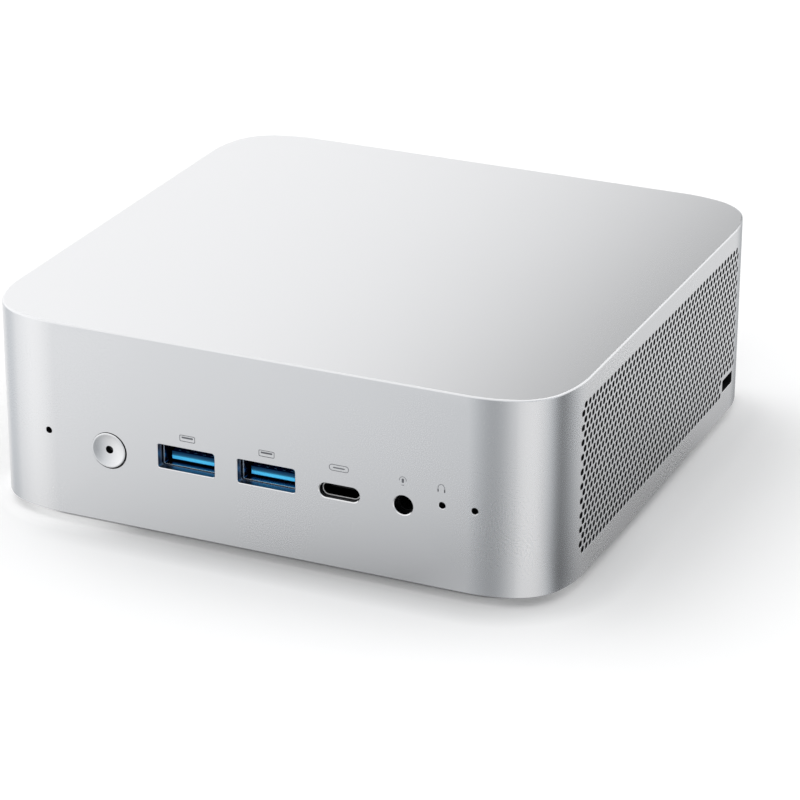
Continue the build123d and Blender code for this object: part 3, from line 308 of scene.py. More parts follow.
# painted shade: near-black for the grille holes, pinholes, lock slot, button bores and the shell's inner
# faces seen through them
bore_painted_shade = surface("dark_bores_painted_shade", (0.006, 0.006, 0.007), roughness=0.75, grain=4000, relief=0.1,
                      tint=0.06, specular=0.15)
edge_finish = metal("cut_aluminium_edge", (0.93, 0.935, 0.95), roughness=0.2, grain=3000, depth=0.005,
                    tint=0.02, wear=0.03)
button_finish = metal("turned_aluminium", (0.96, 0.965, 0.98), grain=5000, depth=0.005, tint=0.02,
                      wear=0.03, extra=turned(BUTTON_AT, 0.05, 0.5))
panel_finish = surface("textured_black_steel", rgb((26, 27, 29)), grain=2600, relief=0.5, depth=0.03,
                       tint=0.15, patch=40.0, wear=0.08)
cover_finish = surface("grey_moulded_cover", rgb((58, 60, 63)), grain=2200, relief=0.5, depth=0.03,
                       tint=0.08, patch=30.0, wear=0.06)
rubber_finish = surface("rubber", rgb((28, 28, 29)), roughness=0.8, grain=1800, relief=0.5, depth=0.04,
                        tint=0.12, specular=0.3)
# Painted shade along y: steel darkens from the port mouths inwards and is near-black inside the case; the
# front shells turn navy, a painted reflection of the blue tongues.
REAR_SHADE = [(-50.0, 0.03), (50.0, 0.06), (58.0, 0.12), (65.6, 0.30), (66.0, 0.85), (66.3, 1.0)]
SHELL_SHADE = [(-63.9, 1.0), (-63.72, 0.85), (-63.6, (0.12, 0.18, 0.32)), (-61.0, (0.08, 0.13, 0.26)),
               *REAR_SHADE]
SOCKET_SHADE = [(-64.85, 1.0), (-64.74, 0.95), (-64.64, 0.03), *REAR_SHADE]
port_steel_painted_shade = metal("nickel_plated_steel_painted_shade", (0.82, 0.82, 0.80), roughness=0.26, relief=0.2, depth=0.01,
                   wear=0.06, stretch=(1, 0.08, 1), extra=along(1, SHELL_SHADE))
# painted shade: the small sockets are bright only at their mouths and near-black within
socket_steel_painted_shade = metal("small_socket_steel_painted_shade", (0.90, 0.90, 0.90), roughness=0.3, relief=0.15, depth=0.01,
                          stretch=(1, 0.08, 1), extra=along(1, SOCKET_SHADE))
# blue insulator, with a painted highlight, glow and shade on the front tongues
tongue_blue_painted_light = surface("blue_insulator_painted_light", (0.13, 0.85, 1.0), relief=0.15, depth=0.01, tint=0.05,
                      specular=0.15, extra=tongue_painted_light)
black_plastic = surface("black_insulator", rgb((17, 17, 18)), roughness=0.42, grain=2600, depth=0.015,
                        tint=0.15, wear=0.06)
chip_finish = surface("chip_resin", rgb((30, 30, 32)), roughness=0.6, grain=5000, relief=0.3, depth=0.01,
                      tint=0.15, wear=0.08)
gold = metal("gold_plating", (0.86, 0.62, 0.26), grain=2500, depth=0.005, tint=0.06)
brass = metal("brass", (0.72, 0.52, 0.25), roughness=0.32, grain=1800, relief=0.2, tint=0.07)
copper = metal("copper", (0.80, 0.42, 0.27), roughness=0.28, relief=0.15, depth=0.01, tint=0.08, wear=0.08)
fin_aluminium = metal("fin_aluminium", (0.78, 0.79, 0.80), roughness=0.36, relief=0.2, stretch=(0.1, 1, 1))
screw_black = metal("blackened_steel", (0.055, 0.056, 0.06), roughness=0.4, grain=2500, relief=0.25,
                    tint=0.12, wear=0.08)
screw_steel = metal("zinc_steel", (0.70, 0.71, 0.72), roughness=0.33, grain=2500, relief=0.2, tint=0.06,
                    wear=0.08)
board_finish = surface("board_lacquer", rgb((18, 40, 34)), roughness=0.34, relief=0.1, depth=0.01,
                       tint=0.06, coat=0.3, extra=traces(rgb((12, 32, 28)), rgb((22, 62, 50))))
card_finish = surface("card_lacquer", rgb((14, 18, 22)), roughness=0.34, relief=0.1, depth=0.01, tint=0.06,
                      coat=0.3, extra=traces(rgb((12, 14, 18)), rgb((22, 30, 36))))
silicon = surface("silicon_die", (0.30, 0.32, 0.36), metallic=0.6, roughness=0.12, grain=900, relief=0.02,
                  tint=0.05)
ferrite = surface("ferrite", rgb((64, 66, 70)), roughness=0.6, grain=3500, relief=0.6, depth=0.04,
                  tint=0.15)
ink = surface("grey_print", rgb((96, 98, 103)), roughness=0.6, grain=5000, depth=0.005)
light_glass = surface("dark_light_pipe", rgb((12, 12, 13)), roughness=0.2, grain=2000, relief=0.05)
ivory = surface("ivory_socket", rgb((205, 200, 186)), roughness=0.5, grain=2500, tint=0.05)
tape = surface("antenna_film", rgb((40, 42, 46)), roughness=0.4, grain=1500)
GREEN_LIGHT, AMBER_LIGHT = rgb((150, 190, 70)), rgb((225, 160, 50))
JACK_LIGHTS = [(x + way * 5.6, 21.4, colour) for x in NETWORK_X
               for way, colour in ((-1, GREEN_LIGHT), (1, AMBER_LIGHT))]
jack_face = surface("network_jack_housing", rgb((20, 20, 22)), roughness=0.45, grain=2400, relief=0.3,
                    depth=0.015, extra=light_bar(JACK_LIGHTS, (2.6, 1.3)))
gold_tipped = surface("tongues_with_contacts", rgb((16, 16, 17)), roughness=0.4, grain=2600, depth=0.01,
                      extra=striped(0, 0.5, 0.5, 1, 60.0, 65.2, (0.80, 0.58, 0.24)))
dim_gold = metal("contacts_in_the_shade", (0.10, 0.28, 0.55), roughness=0.3, grain=2500, depth=0.005,
                 tint=0.06)
winding = surface("lacquered_copper_winding", rgb((140, 62, 24)), metallic=0.6, roughness=0.35, grain=1800,
                  relief=0.6, depth=0.08, tint=0.2, stretch=(0.15, 1, 1))
magnet = surface("bonded_magnet", rgb((46, 46, 48)), grain=3500, relief=0.4, tint=0.15)
blade_plastic = surface("glass_filled_plastic", rgb((24, 24, 26)), roughness=0.5, relief=0.4, tint=0.15,
                        stretch=(1, 1, 0.3))
lid_steel = metal("stamped_lid_steel", (0.60, 0.60, 0.61), roughness=0.35, grain=1400, relief=0.25,
                  stretch=(0.08, 1, 1))
spreader = metal("black_anodised_spreader", (0.09, 0.09, 0.10), roughness=0.35, grain=1600, relief=0.3,
                 tint=0.1, stretch=(1, 0.08, 1))
shield = metal("tinned_shield", (0.74, 0.74, 0.72), roughness=0.3, grain=1200, relief=0.2)
lead = surface("lead_jacket", rgb((26, 26, 28)), roughness=0.5, relief=0.3, depth=0.01)
laminate = surface("package_laminate", rgb((22, 62, 40)), roughness=0.4, relief=0.15)
cell = metal("cell_steel", (0.78, 0.78, 0.77), grain=1200, tint=0.04)


# ---------------------------------------------------------------- meshes
def show(name, data):
    """A new object in the scene that holds data."""
    made = bpy.data.objects.new(name, data)
    bpy.context.scene.collection.objects.link(made)
    return made


class Solid:
    """Faces gathered with a normal at every corner, welded where points meet. Millimetres."""

    def __init__(self):
        self.points, self.found = [], {}
        self.faces, self.normals, self.looks = [], [], []

    def point(self, p):
        key = (round(p[0], 4), round(p[1], 4), round(p[2], 4))
        if key not in self.found:
            self.found[key] = len(self.points)
            self.points.append((p[0] * MM, p[1] * MM, p[2] * MM))
        return self.found[key]

    def face(self, corners, look=0, flip=False):
        """corners are (point, normal) pairs, anticlockwise from outside; flip turns them round."""
        ids, normals = [], []
        for p, n in reversed(corners) if flip else corners:
            i = self.point(p)
            if i not in ids:
                ids.append(i)
                normals.append(n)
        if len(ids) > 2:
            self.faces.append(ids)
            self.normals.extend(normals)
            self.looks.append(look)

    def build(self, name, materials):
        mesh = bpy.data.meshes.new(name)
        mesh.from_pydata(self.points, [], self.faces)
        for material in materials:
            mesh.materials.append(material)
        mesh.polygons.foreach_set("material_index", self.looks)
        mesh.polygons.foreach_set("use_smooth", [True] * len(self.faces))
        mesh.normals_split_custom_set([Vector(n).normalized() for n in self.normals])
        return show(name, mesh)


def inside(p, loop):
    """True if the 2-D point lies inside the closed loop."""
    x, y = p
    odd = False
    for (x0, y0), (x1, y1) in zip(loop, loop[1:] + loop[:1]):
        if (y0 > y) != (y1 > y) and x < x0 + (y - y0) / (y1 - y0) * (x1 - x0):
            odd = not odd
    return odd


def triangles(edge, holes=(), extra=()):
    """Anticlockwise triangles that fill the loop edge, less the holes, as lists of 2-D points."""
    points, edges = [], []
    for loop in (edge, *holes):
        first = len(points)
        points += [Vector(p) for p in loop]
        edges += [(first + i, first + (i + 1) % len(loop)) for i in range(len(loop))]
    points += [Vector(p) for p in extra]
    found, _, faces, *_ = delaunay_2d_cdt(points, edges, [], 0, 1e-5)
    kept = []
    for ids in faces:
        corners = [tuple(found[i]) for i in ids]
        middle = (sum(c[0] for c in corners) / 3, sum(c[1] for c in corners) / 3)
        if inside(middle, list(edge)) and not any(inside(middle, list(h)) for h in holes):
            (ax, ay), (bx, by), (cx, cy) = corners
            if (bx - ax) * (cy - ay) - (cx - ax) * (by - ay) < 0:
                corners.reverse()
            kept.append(corners)
    return kept


def circle(u, v, radius, count, start=0.0):
    turns = [start + math.tau * i / count for i in range(count)]
    return [(u + radius * math.cos(a), v + radius * math.sin(a)) for a in turns]


def arc(u, v, radius_u, radius_v, start, end, steps=20):
    """Points of an arc between two angles in degrees, which may be stretched into an ellipse."""
    turns = [math.radians(start + (end - start) * i / steps) for i in range(steps + 1)]
    return [(u + radius_u * math.cos(a), v + radius_v * math.sin(a)) for a in turns]


def rounded_rectangle(u, v, width, height, radius, count=6):
    """A closed anticlockwise loop; a full slot if the radius is half the height."""
    loop = []
    for su, sv, start in ((1, -1, -90), (1, 1, 0), (-1, 1, 90), (-1, -1, 180)):
        cu, cv = u + su * (width / 2 - radius), v + sv * (height / 2 - radius)
        for i in range(count + 1):
            a = math.radians(start + 90 * i / count)
            p = (cu + radius * math.cos(a), cv + radius * math.sin(a))
            if not loop or math.dist(p, loop[-1]) > 1e-4:
                loop.append(p)
    return loop


def grown(loop, amount):
    """The loop moved outwards by a small amount."""
    made = []
    for i, p in enumerate(loop):
        before, after = loop[i - 1], loop[(i + 1) % len(loop)]
        out = Vector((after[1] - before[1], before[0] - after[0])).normalized()
        made.append((p[0] + out.x * amount, p[1] + out.y * amount))
    return made


def lathe(solid, x, z, profile, looks, sides=96):
    """Turns (radius, y) points round the Y axis through x, z; the outside is on the left of the path."""
    count = len(profile)
    normals = []
    for (r0, y0), (r1, y1) in zip(profile, profile[1:]):
        length = math.dist((r0, y0), (r1, y1))
        normals.append((-(y1 - y0) / length, (r1 - r0) / length))
    for i in range(count - 1):
        ends = []
        for k, j in ((i, i - 1), (i + 1, i + 1)):
            n = normals[i]
            if 0 <= j < count - 1 and n[0] * normals[j][0] + n[1] * normals[j][1] > 0.8:
                n = (n[0] + normals[j][0], n[1] + normals[j][1])
            ends.append((profile[k], n))
        here, there = ends
        for step in range(sides):
            corners = []
            for ((radius, y), n), turn in ((here, step), (here, step + 1), (there, step + 1), (there, step)):
                a = math.tau * turn / sides
                corners.append(((x + radius * math.cos(a), y, z + radius * math.sin(a)),
                                (n[0] * math.cos(a), n[1], n[0] * math.sin(a))))
            solid.face(corners, looks[i])


def plate(solid, loop, holes, near, far, look=0):
    """A flat piece between y near (in front) and y far, cut to a loop in (x, z) with holes."""
    for corners in triangles(loop, holes):
        solid.face([((u, near, v), (0, -1, 0)) for u, v in corners], look)
        solid.face([((u, far, v), (0, 1, 0)) for u, v in corners], look, flip=True)
    for ring in (loop, *[hole[::-1] for hole in holes]):
        for (u0, v0), (u1, v1) in zip(ring, ring[1:] + ring[:1]):
            out = (v1 - v0, 0, u0 - u1)
            corners = ((u0, near, v0), (u0, far, v0), (u1, far, v1), (u1, near, v1))
            solid.face([(p, out) for p in corners], look)


def stroke(points, width):
    """The closed loop of a line of the given width along points in a plane."""
    sides = ([], [])
    for i, p in enumerate(points):
        before, after = points[max(i - 1, 0)], points[min(i + 1, len(points) - 1)]
        across = Vector((before[1] - after[1], after[0] - before[0])).normalized() * width / 2
        sides[0].append((p[0] - across.x, p[1] - across.y))
        sides[1].append((p[0] + across.x, p[1] + across.y))
    return sides[0] + sides[1][::-1]


def wire(solid, points, radius, look=0, sides=8):
    """A round wire through points in space, with flat ends."""
    rings = []
    for i, p in enumerate(points):
        ahead = (Vector(points[min(i + 1, len(points) - 1)]) - Vector(points[max(i - 1, 0)])).normalized()
        across = ahead.orthogonal().normalized()
        other = ahead.cross(across)
        if rings:
            across = (rings[-1][1] - ahead * rings[-1][1].dot(ahead)).normalized()
            other = ahead.cross(across)
        rings.append((Vector(p), across, other, ahead))

    def on_ring(ring, k):
        centre, across, other, _ = ring
        out = across * math.cos(math.tau * k / sides) + other * math.sin(math.tau * k / sides)
        return tuple(centre + out * radius), tuple(out)

    for a, b in zip(rings, rings[1:]):
        for k in range(sides):
            solid.face([on_ring(a, k), on_ring(a, k + 1), on_ring(b, k + 1), on_ring(b, k)], look)
    for ring, way in ((rings[0], -1), (rings[-1], 1)):
        n = tuple(ring[3] * way)
        solid.face([(on_ring(ring, k)[0], n) for k in range(sides)], look, flip=way < 0)


# ---------------------------------------------------------------- case shell
# The case outline: straight sides, and corners made of three arcs, each (radius in mm, degrees turned).
ARCS = ((30.0, 20.0), (12.5, 50.0), (30.0, 20.0))
FLAT_TO_ARC = 19.5407


def corner(angle):
    """Offset from where the curve starts, along and across it, at a turn of angle degrees."""
    along = across = heading = 0.0
    for radius, turn in ARCS:
        end = min(angle, heading + turn)
        a, b = math.radians(heading), math.radians(end)
        along += radius * (math.sin(b) - math.sin(a))
        across += radius * (math.cos(a) - math.cos(b))
        heading += turn
        if angle <= heading:
            break
    return along, across


class Side:
    """One wall of the case: t runs left to right for someone facing it."""

    def __init__(self, turn, half, reach):
        a = math.radians(turn)
        self.out = Vector((math.sin(a), -math.cos(a), 0))
        self.along = Vector((math.cos(a), math.sin(a), 0))
        self.half, self.straight = half, reach - FLAT_TO_ARC

    def at(self, t, z, inset=0.0):
        """Point and normal on the wall at t and height z, inset mm inside the outer surface."""
        past = abs(t) - self.straight
        if past <= 1e-6:
            place, normal = self.along * t + self.out * self.half, self.out
        else:
            a = math.asin(past / ARCS[0][0])
            side = self.along * math.copysign(1, t)
            normal = (self.out * math.cos(a) + side * math.sin(a))
            place = self.along * t + self.out * (self.half - ARCS[0][0] * (1 - math.cos(a)))
        place = place - normal * inset
        return (place.x, place.y, z), (normal.x, normal.y, 0.0)

    def corner_at(self, angle, z, inset=0.0):
        """The same at a turn of angle degrees round the corner on the right of this wall."""
        along, across = corner(angle)
        a = math.radians(angle)
        normal = self.out * math.cos(a) + self.along * math.sin(a)
        place = self.along * (self.straight + along) + self.out * (self.half - across) - normal * inset
        return (place.x, place.y, z), (normal.x, normal.y, 0.0)


front = Side(0, REAR_Y, SIDE_X)
right = Side(90, SIDE_X, REAR_Y)
rear = Side(180, REAR_Y, SIDE_X)
left = Side(270, SIDE_X, REAR_Y)

GRILLE_PITCH, ROW_PITCH, ROWS, LOW_ROW_Z = 2.1, 1.66, 21, 8.31
GRILLE_R, GRILLE_RIM, BORE_SIDES = 0.76, 0.055, 14
GRILLE_MID, LONG_ROW = -0.3, 48
GRILLE_HALF = LONG_ROW * GRILLE_PITCH / 2
GRILLE_LOW = LOW_ROW_Z - ROW_PITCH / 2
GRILLE_HIGH = GRILLE_LOW + ROWS * ROW_PITCH
EDGE_R, LOWER_EDGE = 0.45, 0.2
WALL_LOW, WALL_HIGH = BOTTOM_Z + LOWER_EDGE, TOP_Z - EDGE_R
LOCK = (44.85, 10.05, 7.1, 3.0, 0.4)
LOCK_COLUMNS_FROM, LOCK_ROWS = 40.65, 3
PORT_EDGE, SMALL_PORT_EDGE, BUTTON_EDGE, PINHOLE_RIM = 0.15, 0.2, 0.03, 0.1
TOP_EDGE_STEPS = 4
POST_X, POST_Y, POST_R, POST_HOLE_R, POST_LOW_Z = 56.5, 54.5, 3.5, 1.5, 24.6
# Looks of the shell: DARK is painted shade on bores and on inner faces seen through openings; REVEAL and
# INNER are painted shade on port walls.
ALUMINIUM, DARK, CUT, TOP, REVEAL, INNER = 0, 1, 2, 3, 4, 5

half_steps = [round(-GRILLE_HALF + i * GRILLE_PITCH / 2, 4) for i in range(2 * LONG_ROW + 1)]
right_ts = [t + GRILLE_MID for t in half_steps]
left_ts = [t - GRILLE_MID for t in half_steps]
bend_ts = [48.8, 49.5, 50.2, 50.9, 51.5]
front_ts = [-t for t in reversed(bend_ts)] + [-front.straight, -24.0, 0.0, 24.0, front.straight] + bend_ts
rear_ts = [-53.0, *front_ts, 53.0]

walls = ((front, front_ts), (right, right_ts), (rear, rear_ts), (left, left_ts))


def turn_of(side, t):
    """Degrees turned where a wall's own samples end and its corner's begin."""
    return math.degrees(math.asin((abs(t) - side.straight) / ARCS[0][0]))


def corner_turns(i):
    """Degrees turned at each column of the corner after wall i, both walls' end columns included."""
    (side, ts), (following, next_ts) = walls[i], walls[(i + 1) % 4]
    first, last = turn_of(side, ts[-1]), 90 - turn_of(following, next_ts[0])
    joins = (ARCS[0][1], 90 - ARCS[0][1])
    return sorted({first, *joins, last, *[a for a in range(10, 90, 2) if first + 1 < a < last - 1]})


def outline_samples():
    """Every column round the case, anticlockwise from above, as functions of z and inset."""
    columns = []
    for i, (side, ts) in enumerate(walls):
        columns += [(lambda z, inset=0.0, s=side, t=t: s.at(t, z, inset)) for t in ts]
        turns = corner_turns(i)[1:-1]
        columns += [(lambda z, inset=0.0, s=side, a=a: s.corner_at(a, z, inset)) for a in turns]
    return columns


shell = Solid()


def shaded(sample, inward):
    point, normal = sample
    return (point, tuple(-c for c in normal)) if inward else (point, normal)


def quad_strip(columns, low, high, inset=0.0, look=ALUMINIUM):
    """A plain band of wall through consecutive columns; it faces inwards where it has an inset."""
    inward = inset > 0
    for a, b in zip(columns, columns[1:]):
        corners = ((a, low), (b, low), (b, high), (a, high))
        shell.face([shaded(column(z, inset), inward) for column, z in corners], look, flip=inward)


def fill(side, edge, holes=(), extra=(), inset=0.0, look=ALUMINIUM):
    """A triangulated part of a wall, in that wall's (t, z)."""
    inward = inset > 0
    for corners in triangles(edge, holes, extra):
        shell.face([shaded(side.at(t, z, inset), inward) for t, z in corners], look, flip=inward)


def bore(side, loop, start=0.0, end=WALL, look=DARK, grow=0.0):
    """The wall of an opening from inset start to inset end; grow widens its outer end."""
    outer = grown(loop, grow) if grow else loop
    count = len(loop)
    rims = [(side.at(*outer[i], start), side.at(*loop[i], end)) for i in range(count)]
    normals = []
    for i in range(count):
        before, after = loop[i - 1], loop[(i + 1) % count]
        across = Vector((after[1] - before[1], before[0] - after[0])).normalized()
        out = Vector(rims[i][0][1])
        along = Vector((0, 0, 1)).cross(out)
        normal = -(along * across.x + Vector((0, 0, 1)) * across.y)
        if grow:
            normal = normal * (end - start) + out * grow
        normals.append(tuple(normal))
    for i in range(count):
        j = (i + 1) % count
        shell.face([(rims[i][0][0], normals[i]), (rims[j][0][0], normals[j]),
                    (rims[j][1][0], normals[j]), (rims[i][1][0], normals[i])], look)


def cell_pattern(rim):
    """Triangles of one grille cell round a hole at the origin, whose edge is rim mm wider than the bore."""
    u, v = GRILLE_PITCH / 2, ROW_PITCH / 2
    edge = [(-u, -v), (0, -v), (u, -v), (u, v), (0, v), (-u, v)]
    return triangles(edge, [circle(0, 0, GRILLE_R + rim, BORE_SIDES, math.pi / BORE_SIDES)])


def grille(side, mirror):
    """The drilled field of a side wall: brick-laid cells, with half cells closing the even rows.

    mirror is -1 on the left wall, whose t runs the other way along the case.
    """
    faces = ((0.0, cell_pattern(GRILLE_RIM)), (WALL, cell_pattern(0.0)))
    hole = circle(0, 0, GRILLE_R, BORE_SIDES, math.pi / BORE_SIDES)
    middle = GRILLE_MID * mirror
    lock = None
    if mirror > 0:
        top = GRILLE_LOW + LOCK_ROWS * ROW_PITCH
        end = GRILLE_MID + GRILLE_HALF
        step = LOCK_COLUMNS_FROM - GRILLE_PITCH / 2
        across = [t for t in right_ts if t > LOCK_COLUMNS_FROM + 0.01]
        lock = [(LOCK_COLUMNS_FROM, GRILLE_LOW)] + [(t, GRILLE_LOW) for t in across]
        lock += [(t, top) for t in reversed(across)] + [(LOCK_COLUMNS_FROM, top)]
        lock += [(LOCK_COLUMNS_FROM, top - ROW_PITCH), (step, top - ROW_PITCH),
                 (step, GRILLE_LOW + ROW_PITCH), (LOCK_COLUMNS_FROM, GRILLE_LOW + ROW_PITCH)]
        assert abs(across[-1] - end) < 1e-6
    for row in range(ROWS):
        z = LOW_ROW_Z + row * ROW_PITCH
        count = LONG_ROW - (row + 1) % 2
        for i in range(count):
            t = middle + (i - (count - 1) / 2) * GRILLE_PITCH
            if lock and row < LOCK_ROWS and t > LOCK_COLUMNS_FROM - 0.1:
                continue
            for inset, pattern in faces:
                inward = inset > 0
                for corners in pattern:
                    shell.face([shaded(side.at(t + du, z + dv, inset), inward) for du, dv in corners],
                               DARK if inward else ALUMINIUM, flip=inward)
            loop = [(t + du, z + dv) for du, dv in hole]
            bore(side, loop, 0.0, GRILLE_RIM, CUT, grow=GRILLE_RIM)
            bore(side, loop, GRILLE_RIM, WALL)
        if count < LONG_ROW:
            ends = [middle - GRILLE_HALF, middle + GRILLE_HALF - GRILLE_PITCH / 2]
            if lock and row < LOCK_ROWS:
                ends.pop()
            for t in ends:
                u, v = t + GRILLE_PITCH / 2, ROW_PITCH / 2
                edge = [(t, z - v), (u, z - v), (u, z + v), (t, z + v)]
                for inset in (0.0, WALL):
                    inward = inset > 0
                    shell.face([shaded(side.at(*p, inset), inward) for p in edge],
                               DARK if inward else ALUMINIUM, flip=inward)
    if lock:
        slot = rounded_rectangle(*LOCK)
        fill(side, lock, [grown(slot, GRILLE_RIM)])
        fill(side, lock, [slot], inset=WALL, look=DARK)
        bore(side, slot, 0.0, GRILLE_RIM, CUT, grow=GRILLE_RIM)
        bore(side, slot, GRILLE_RIM, WALL)


def cut_wall(side, ts, cuts, extra=lambda low: [], inner_look=ALUMINIUM):
    """A whole wall, inside and out, with (loop, look, edge) openings whose outer edge is bevelled.

    extra gives more points for a skin, from the height of its lower end.
    """
    for inset, low, high in ((0.0, WALL_LOW, WALL_HIGH), (WALL, BOTTOM_Z, CEILING_Z)):
        edge = [(t, low) for t in ts] + [(t, high) for t in reversed(ts)]
        holes = [loop if inset else grown(loop, bevel) for loop, _, bevel in cuts]
        fill(side, edge, holes, extra(low), inset, inner_look if inset else ALUMINIUM)
    for loop, look, bevel in cuts:
        bore(side, loop, 0.0, bevel, CUT, grow=bevel)
        bore(side, loop, bevel, WALL, look)


def points_beside(ts, low, step, count):
    """Columns of points near both ends of a wall, where it bends."""
    return [(way * t, low + step * i) for way in (-1, 1) for t in ts for i in range(count)]


def make_shell():
    columns = outline_samples()
    ring = columns + columns[:1]
    # wall bands that carry no openings
    start = 0
    for i, (side, ts) in enumerate(walls):
        end = start + len(ts) - 1
        next_start = end + len(corner_turns(i)) - 1
        quad_strip(ring[end:next_start + 1], WALL_LOW, WALL_HIGH)
        quad_strip(ring[end:next_start + 1], BOTTOM_Z, CEILING_Z, WALL)
        if side in (left, right):
            own = ring[start:end + 1]
            quad_strip(own, WALL_LOW, GRILLE_LOW)
            quad_strip(own, GRILLE_HIGH, WALL_HIGH)
            quad_strip(own, BOTTOM_Z, GRILLE_LOW, WALL, DARK)
            quad_strip(own, GRILLE_HIGH, CEILING_Z, WALL, DARK)
        start = next_start
    grille(right, 1)
    grille(left, -1)
    cut_wall(front, front_ts, [
        (circle(*BUTTON_AT, BUTTON_HOLE_R, 96), DARK, BUTTON_EDGE),
        *[(rounded_rectangle(x, *USB_A_CUT, 8), REVEAL, PORT_EDGE) for x in USB_A_X],
        (rounded_rectangle(*USB_C_AT, *USB_C_CUT, 12), INNER, SMALL_PORT_EDGE),
        (circle(*AUDIO_AT, AUDIO_R, 48), INNER, SMALL_PORT_EDGE),
        *[(circle(*place, PINHOLE_R, 24), DARK, PINHOLE_RIM) for place in PINHOLES],
    ], lambda low: points_beside((48.4, 49.05, 51.1, 51.3), WALL_LOW + 1.8, 2.0, 21), DARK)
    cut_wall(rear, rear_ts, [(rounded_rectangle(0, *PANEL_CUT, 8), ALUMINIUM, PORT_EDGE)],
             lambda low: points_beside((52.3,), low + 2.5, 2.5, 16))
    # top edge, top, ceiling, lower rim
    for a, b in zip(ring, ring[1:]):
        for i in range(TOP_EDGE_STEPS):
            band = []
            for column, k in ((a, i), (b, i), (b, i + 1), (a, i + 1)):
                turn = math.radians(90 * k / TOP_EDGE_STEPS)
                point, n = column(WALL_HIGH + EDGE_R * math.sin(turn), EDGE_R * (1 - math.cos(turn)))
                band.append((point, (n[0] * math.cos(turn), n[1] * math.cos(turn), math.sin(turn))))
            shell.face(band)
        lower = [a(BOTTOM_Z, LOWER_EDGE), b(BOTTOM_Z, LOWER_EDGE), b(WALL_LOW), a(WALL_LOW)]
        shell.face([(p, (n[0], n[1], -1)) for p, n in lower])
        rim = [a(BOTTOM_Z, WALL), b(BOTTOM_Z, WALL), b(BOTTOM_Z, LOWER_EDGE), a(BOTTOM_Z, LOWER_EDGE)]
        level_face([p for p, _ in rim], BOTTOM_Z, -1)
        level_face([(0, 0), a(TOP_Z, EDGE_R)[0], b(TOP_Z, EDGE_R)[0]], TOP_Z, 1, TOP)
        level_face([(0, 0), b(CEILING_Z, WALL)[0], a(CEILING_Z, WALL)[0]], CEILING_Z, -1)
    # screw posts hanging in the corners
    for x in (-POST_X, POST_X):
        for y in (-POST_Y, POST_Y):
            post(x, y, POST_LOW_Z, CEILING_Z - 0.01)


def level_face(points, z, way, look=ALUMINIUM):
    """A level face at height z that looks up (way 1) or down (way -1)."""
    shell.face([((p[0], p[1], z), (0, 0, way)) for p in points], look)


def post(x, y, low, high, sides=32):
    """A tube, closed at the top, as its own island."""
    hole_end = high - 1
    for i in range(sides):
        ways = [(math.cos(math.tau * k / sides), math.sin(math.tau * k / sides)) for k in (i, i + 1)]
        p, q = ((x + POST_R * u, y + POST_R * v) for u, v in ways)
        r, s = ((x + POST_HOLE_R * u, y + POST_HOLE_R * v) for u, v in ways)
        n, m = ((u, v, 0) for u, v in ways)
        shell.face([((*p, low), n), ((*q, low), m), ((*q, high), m), ((*p, high), n)])
        level_face([(x, y), p, q], high, 1)
        n, m = ((-u, -v, 0) for u, v in ways)
        shell.face([((*s, low), m), ((*r, low), n), ((*r, hole_end), n), ((*s, hole_end), m)])
        level_face([r, s, q, p], low, -1)
        level_face([(x, y), s, r], hole_end, -1)


make_shell()
case_shell = shell.build("case_shell", [shell_finish, bore_painted_shade, edge_finish, top_finish, reveal_painted_shade,
                                        inner_painted_shade])
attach(case_shell, "case")
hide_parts("housing")


# ---------------------------------------------------------------- button
button_low, button_high = box_mm("power_button")
BUTTON_FACE_Y, BUTTON_BACK_Y = button_low.y, button_high.y
BUTTON_R, BUTTON_EDGE_R, DISH_R, DISH_DEPTH, LIGHT_R = 4.05, 0.2, 3.7, 0.55, 0.9
DISH_EDGE = 0.06
PLAY_X, PLAY_Z = -0.11, 0.07
FLANGE_FRONT_Y, FLANGE_BACK_Y, FLANGE_R, TAIL_R = -63.9, -63.0, 5.0, 1.7
sphere_r = (DISH_R**2 + DISH_DEPTH**2) / (2 * DISH_DEPTH)
sphere_y = BUTTON_FACE_Y + DISH_DEPTH - sphere_r
rim_turn = math.degrees(math.acos((DISH_R - DISH_EDGE) / sphere_r))
light_turn = math.degrees(math.acos((LIGHT_R + 0.05) / sphere_r))
button_path = [(LIGHT_R, BUTTON_BACK_Y), (TAIL_R, BUTTON_BACK_Y), (TAIL_R, FLANGE_BACK_Y),
               (FLANGE_R, FLANGE_BACK_Y), (FLANGE_R, FLANGE_FRONT_Y), (BUTTON_R, FLANGE_FRONT_Y)]
button_path += arc(BUTTON_R - BUTTON_EDGE_R, BUTTON_FACE_Y + BUTTON_EDGE_R, BUTTON_EDGE_R, BUTTON_EDGE_R,
                   0, -90, 8)
button_path += [(DISH_R + DISH_EDGE, BUTTON_FACE_Y)]
button_path += arc(0.0, sphere_y, sphere_r, sphere_r, rim_turn, light_turn, 40)
button_path += [(LIGHT_R, button_path[-1][1] + DISH_EDGE), (LIGHT_R, BUTTON_BACK_Y)]
button = Solid()
# the cap's light hole takes the bores' painted shade
button_looks = [0] * (len(button_path) - 2) + [1]
lathe(button, BUTTON_AT[0] + PLAY_X, BUTTON_AT[1] + PLAY_Z, button_path, button_looks, 128)
power_cap = button.build("power_cap", [button_finish, bore_painted_shade])
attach(power_cap, "power_button")
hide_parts("power_button")


# ---------------------------------------------------------------- printed marks
PRINT_T, PRINT_SUNK = 0.012, 0.02
LINE, BAR = 0.14, 2.7
marks = Solid()


def print_mark(loop, *holes):
    plate(marks, loop, holes, FRONT_Y - PRINT_T, FRONT_Y + PRINT_SUNK)


def print_outline(x, z, width, height, radius, inner_radius, count):
    """A rounded frame, LINE wide."""
    print_mark(rounded_rectangle(x, z, width, height, radius, count),
               rounded_rectangle(x, z, width - 2 * LINE, height - 2 * LINE, inner_radius, count))


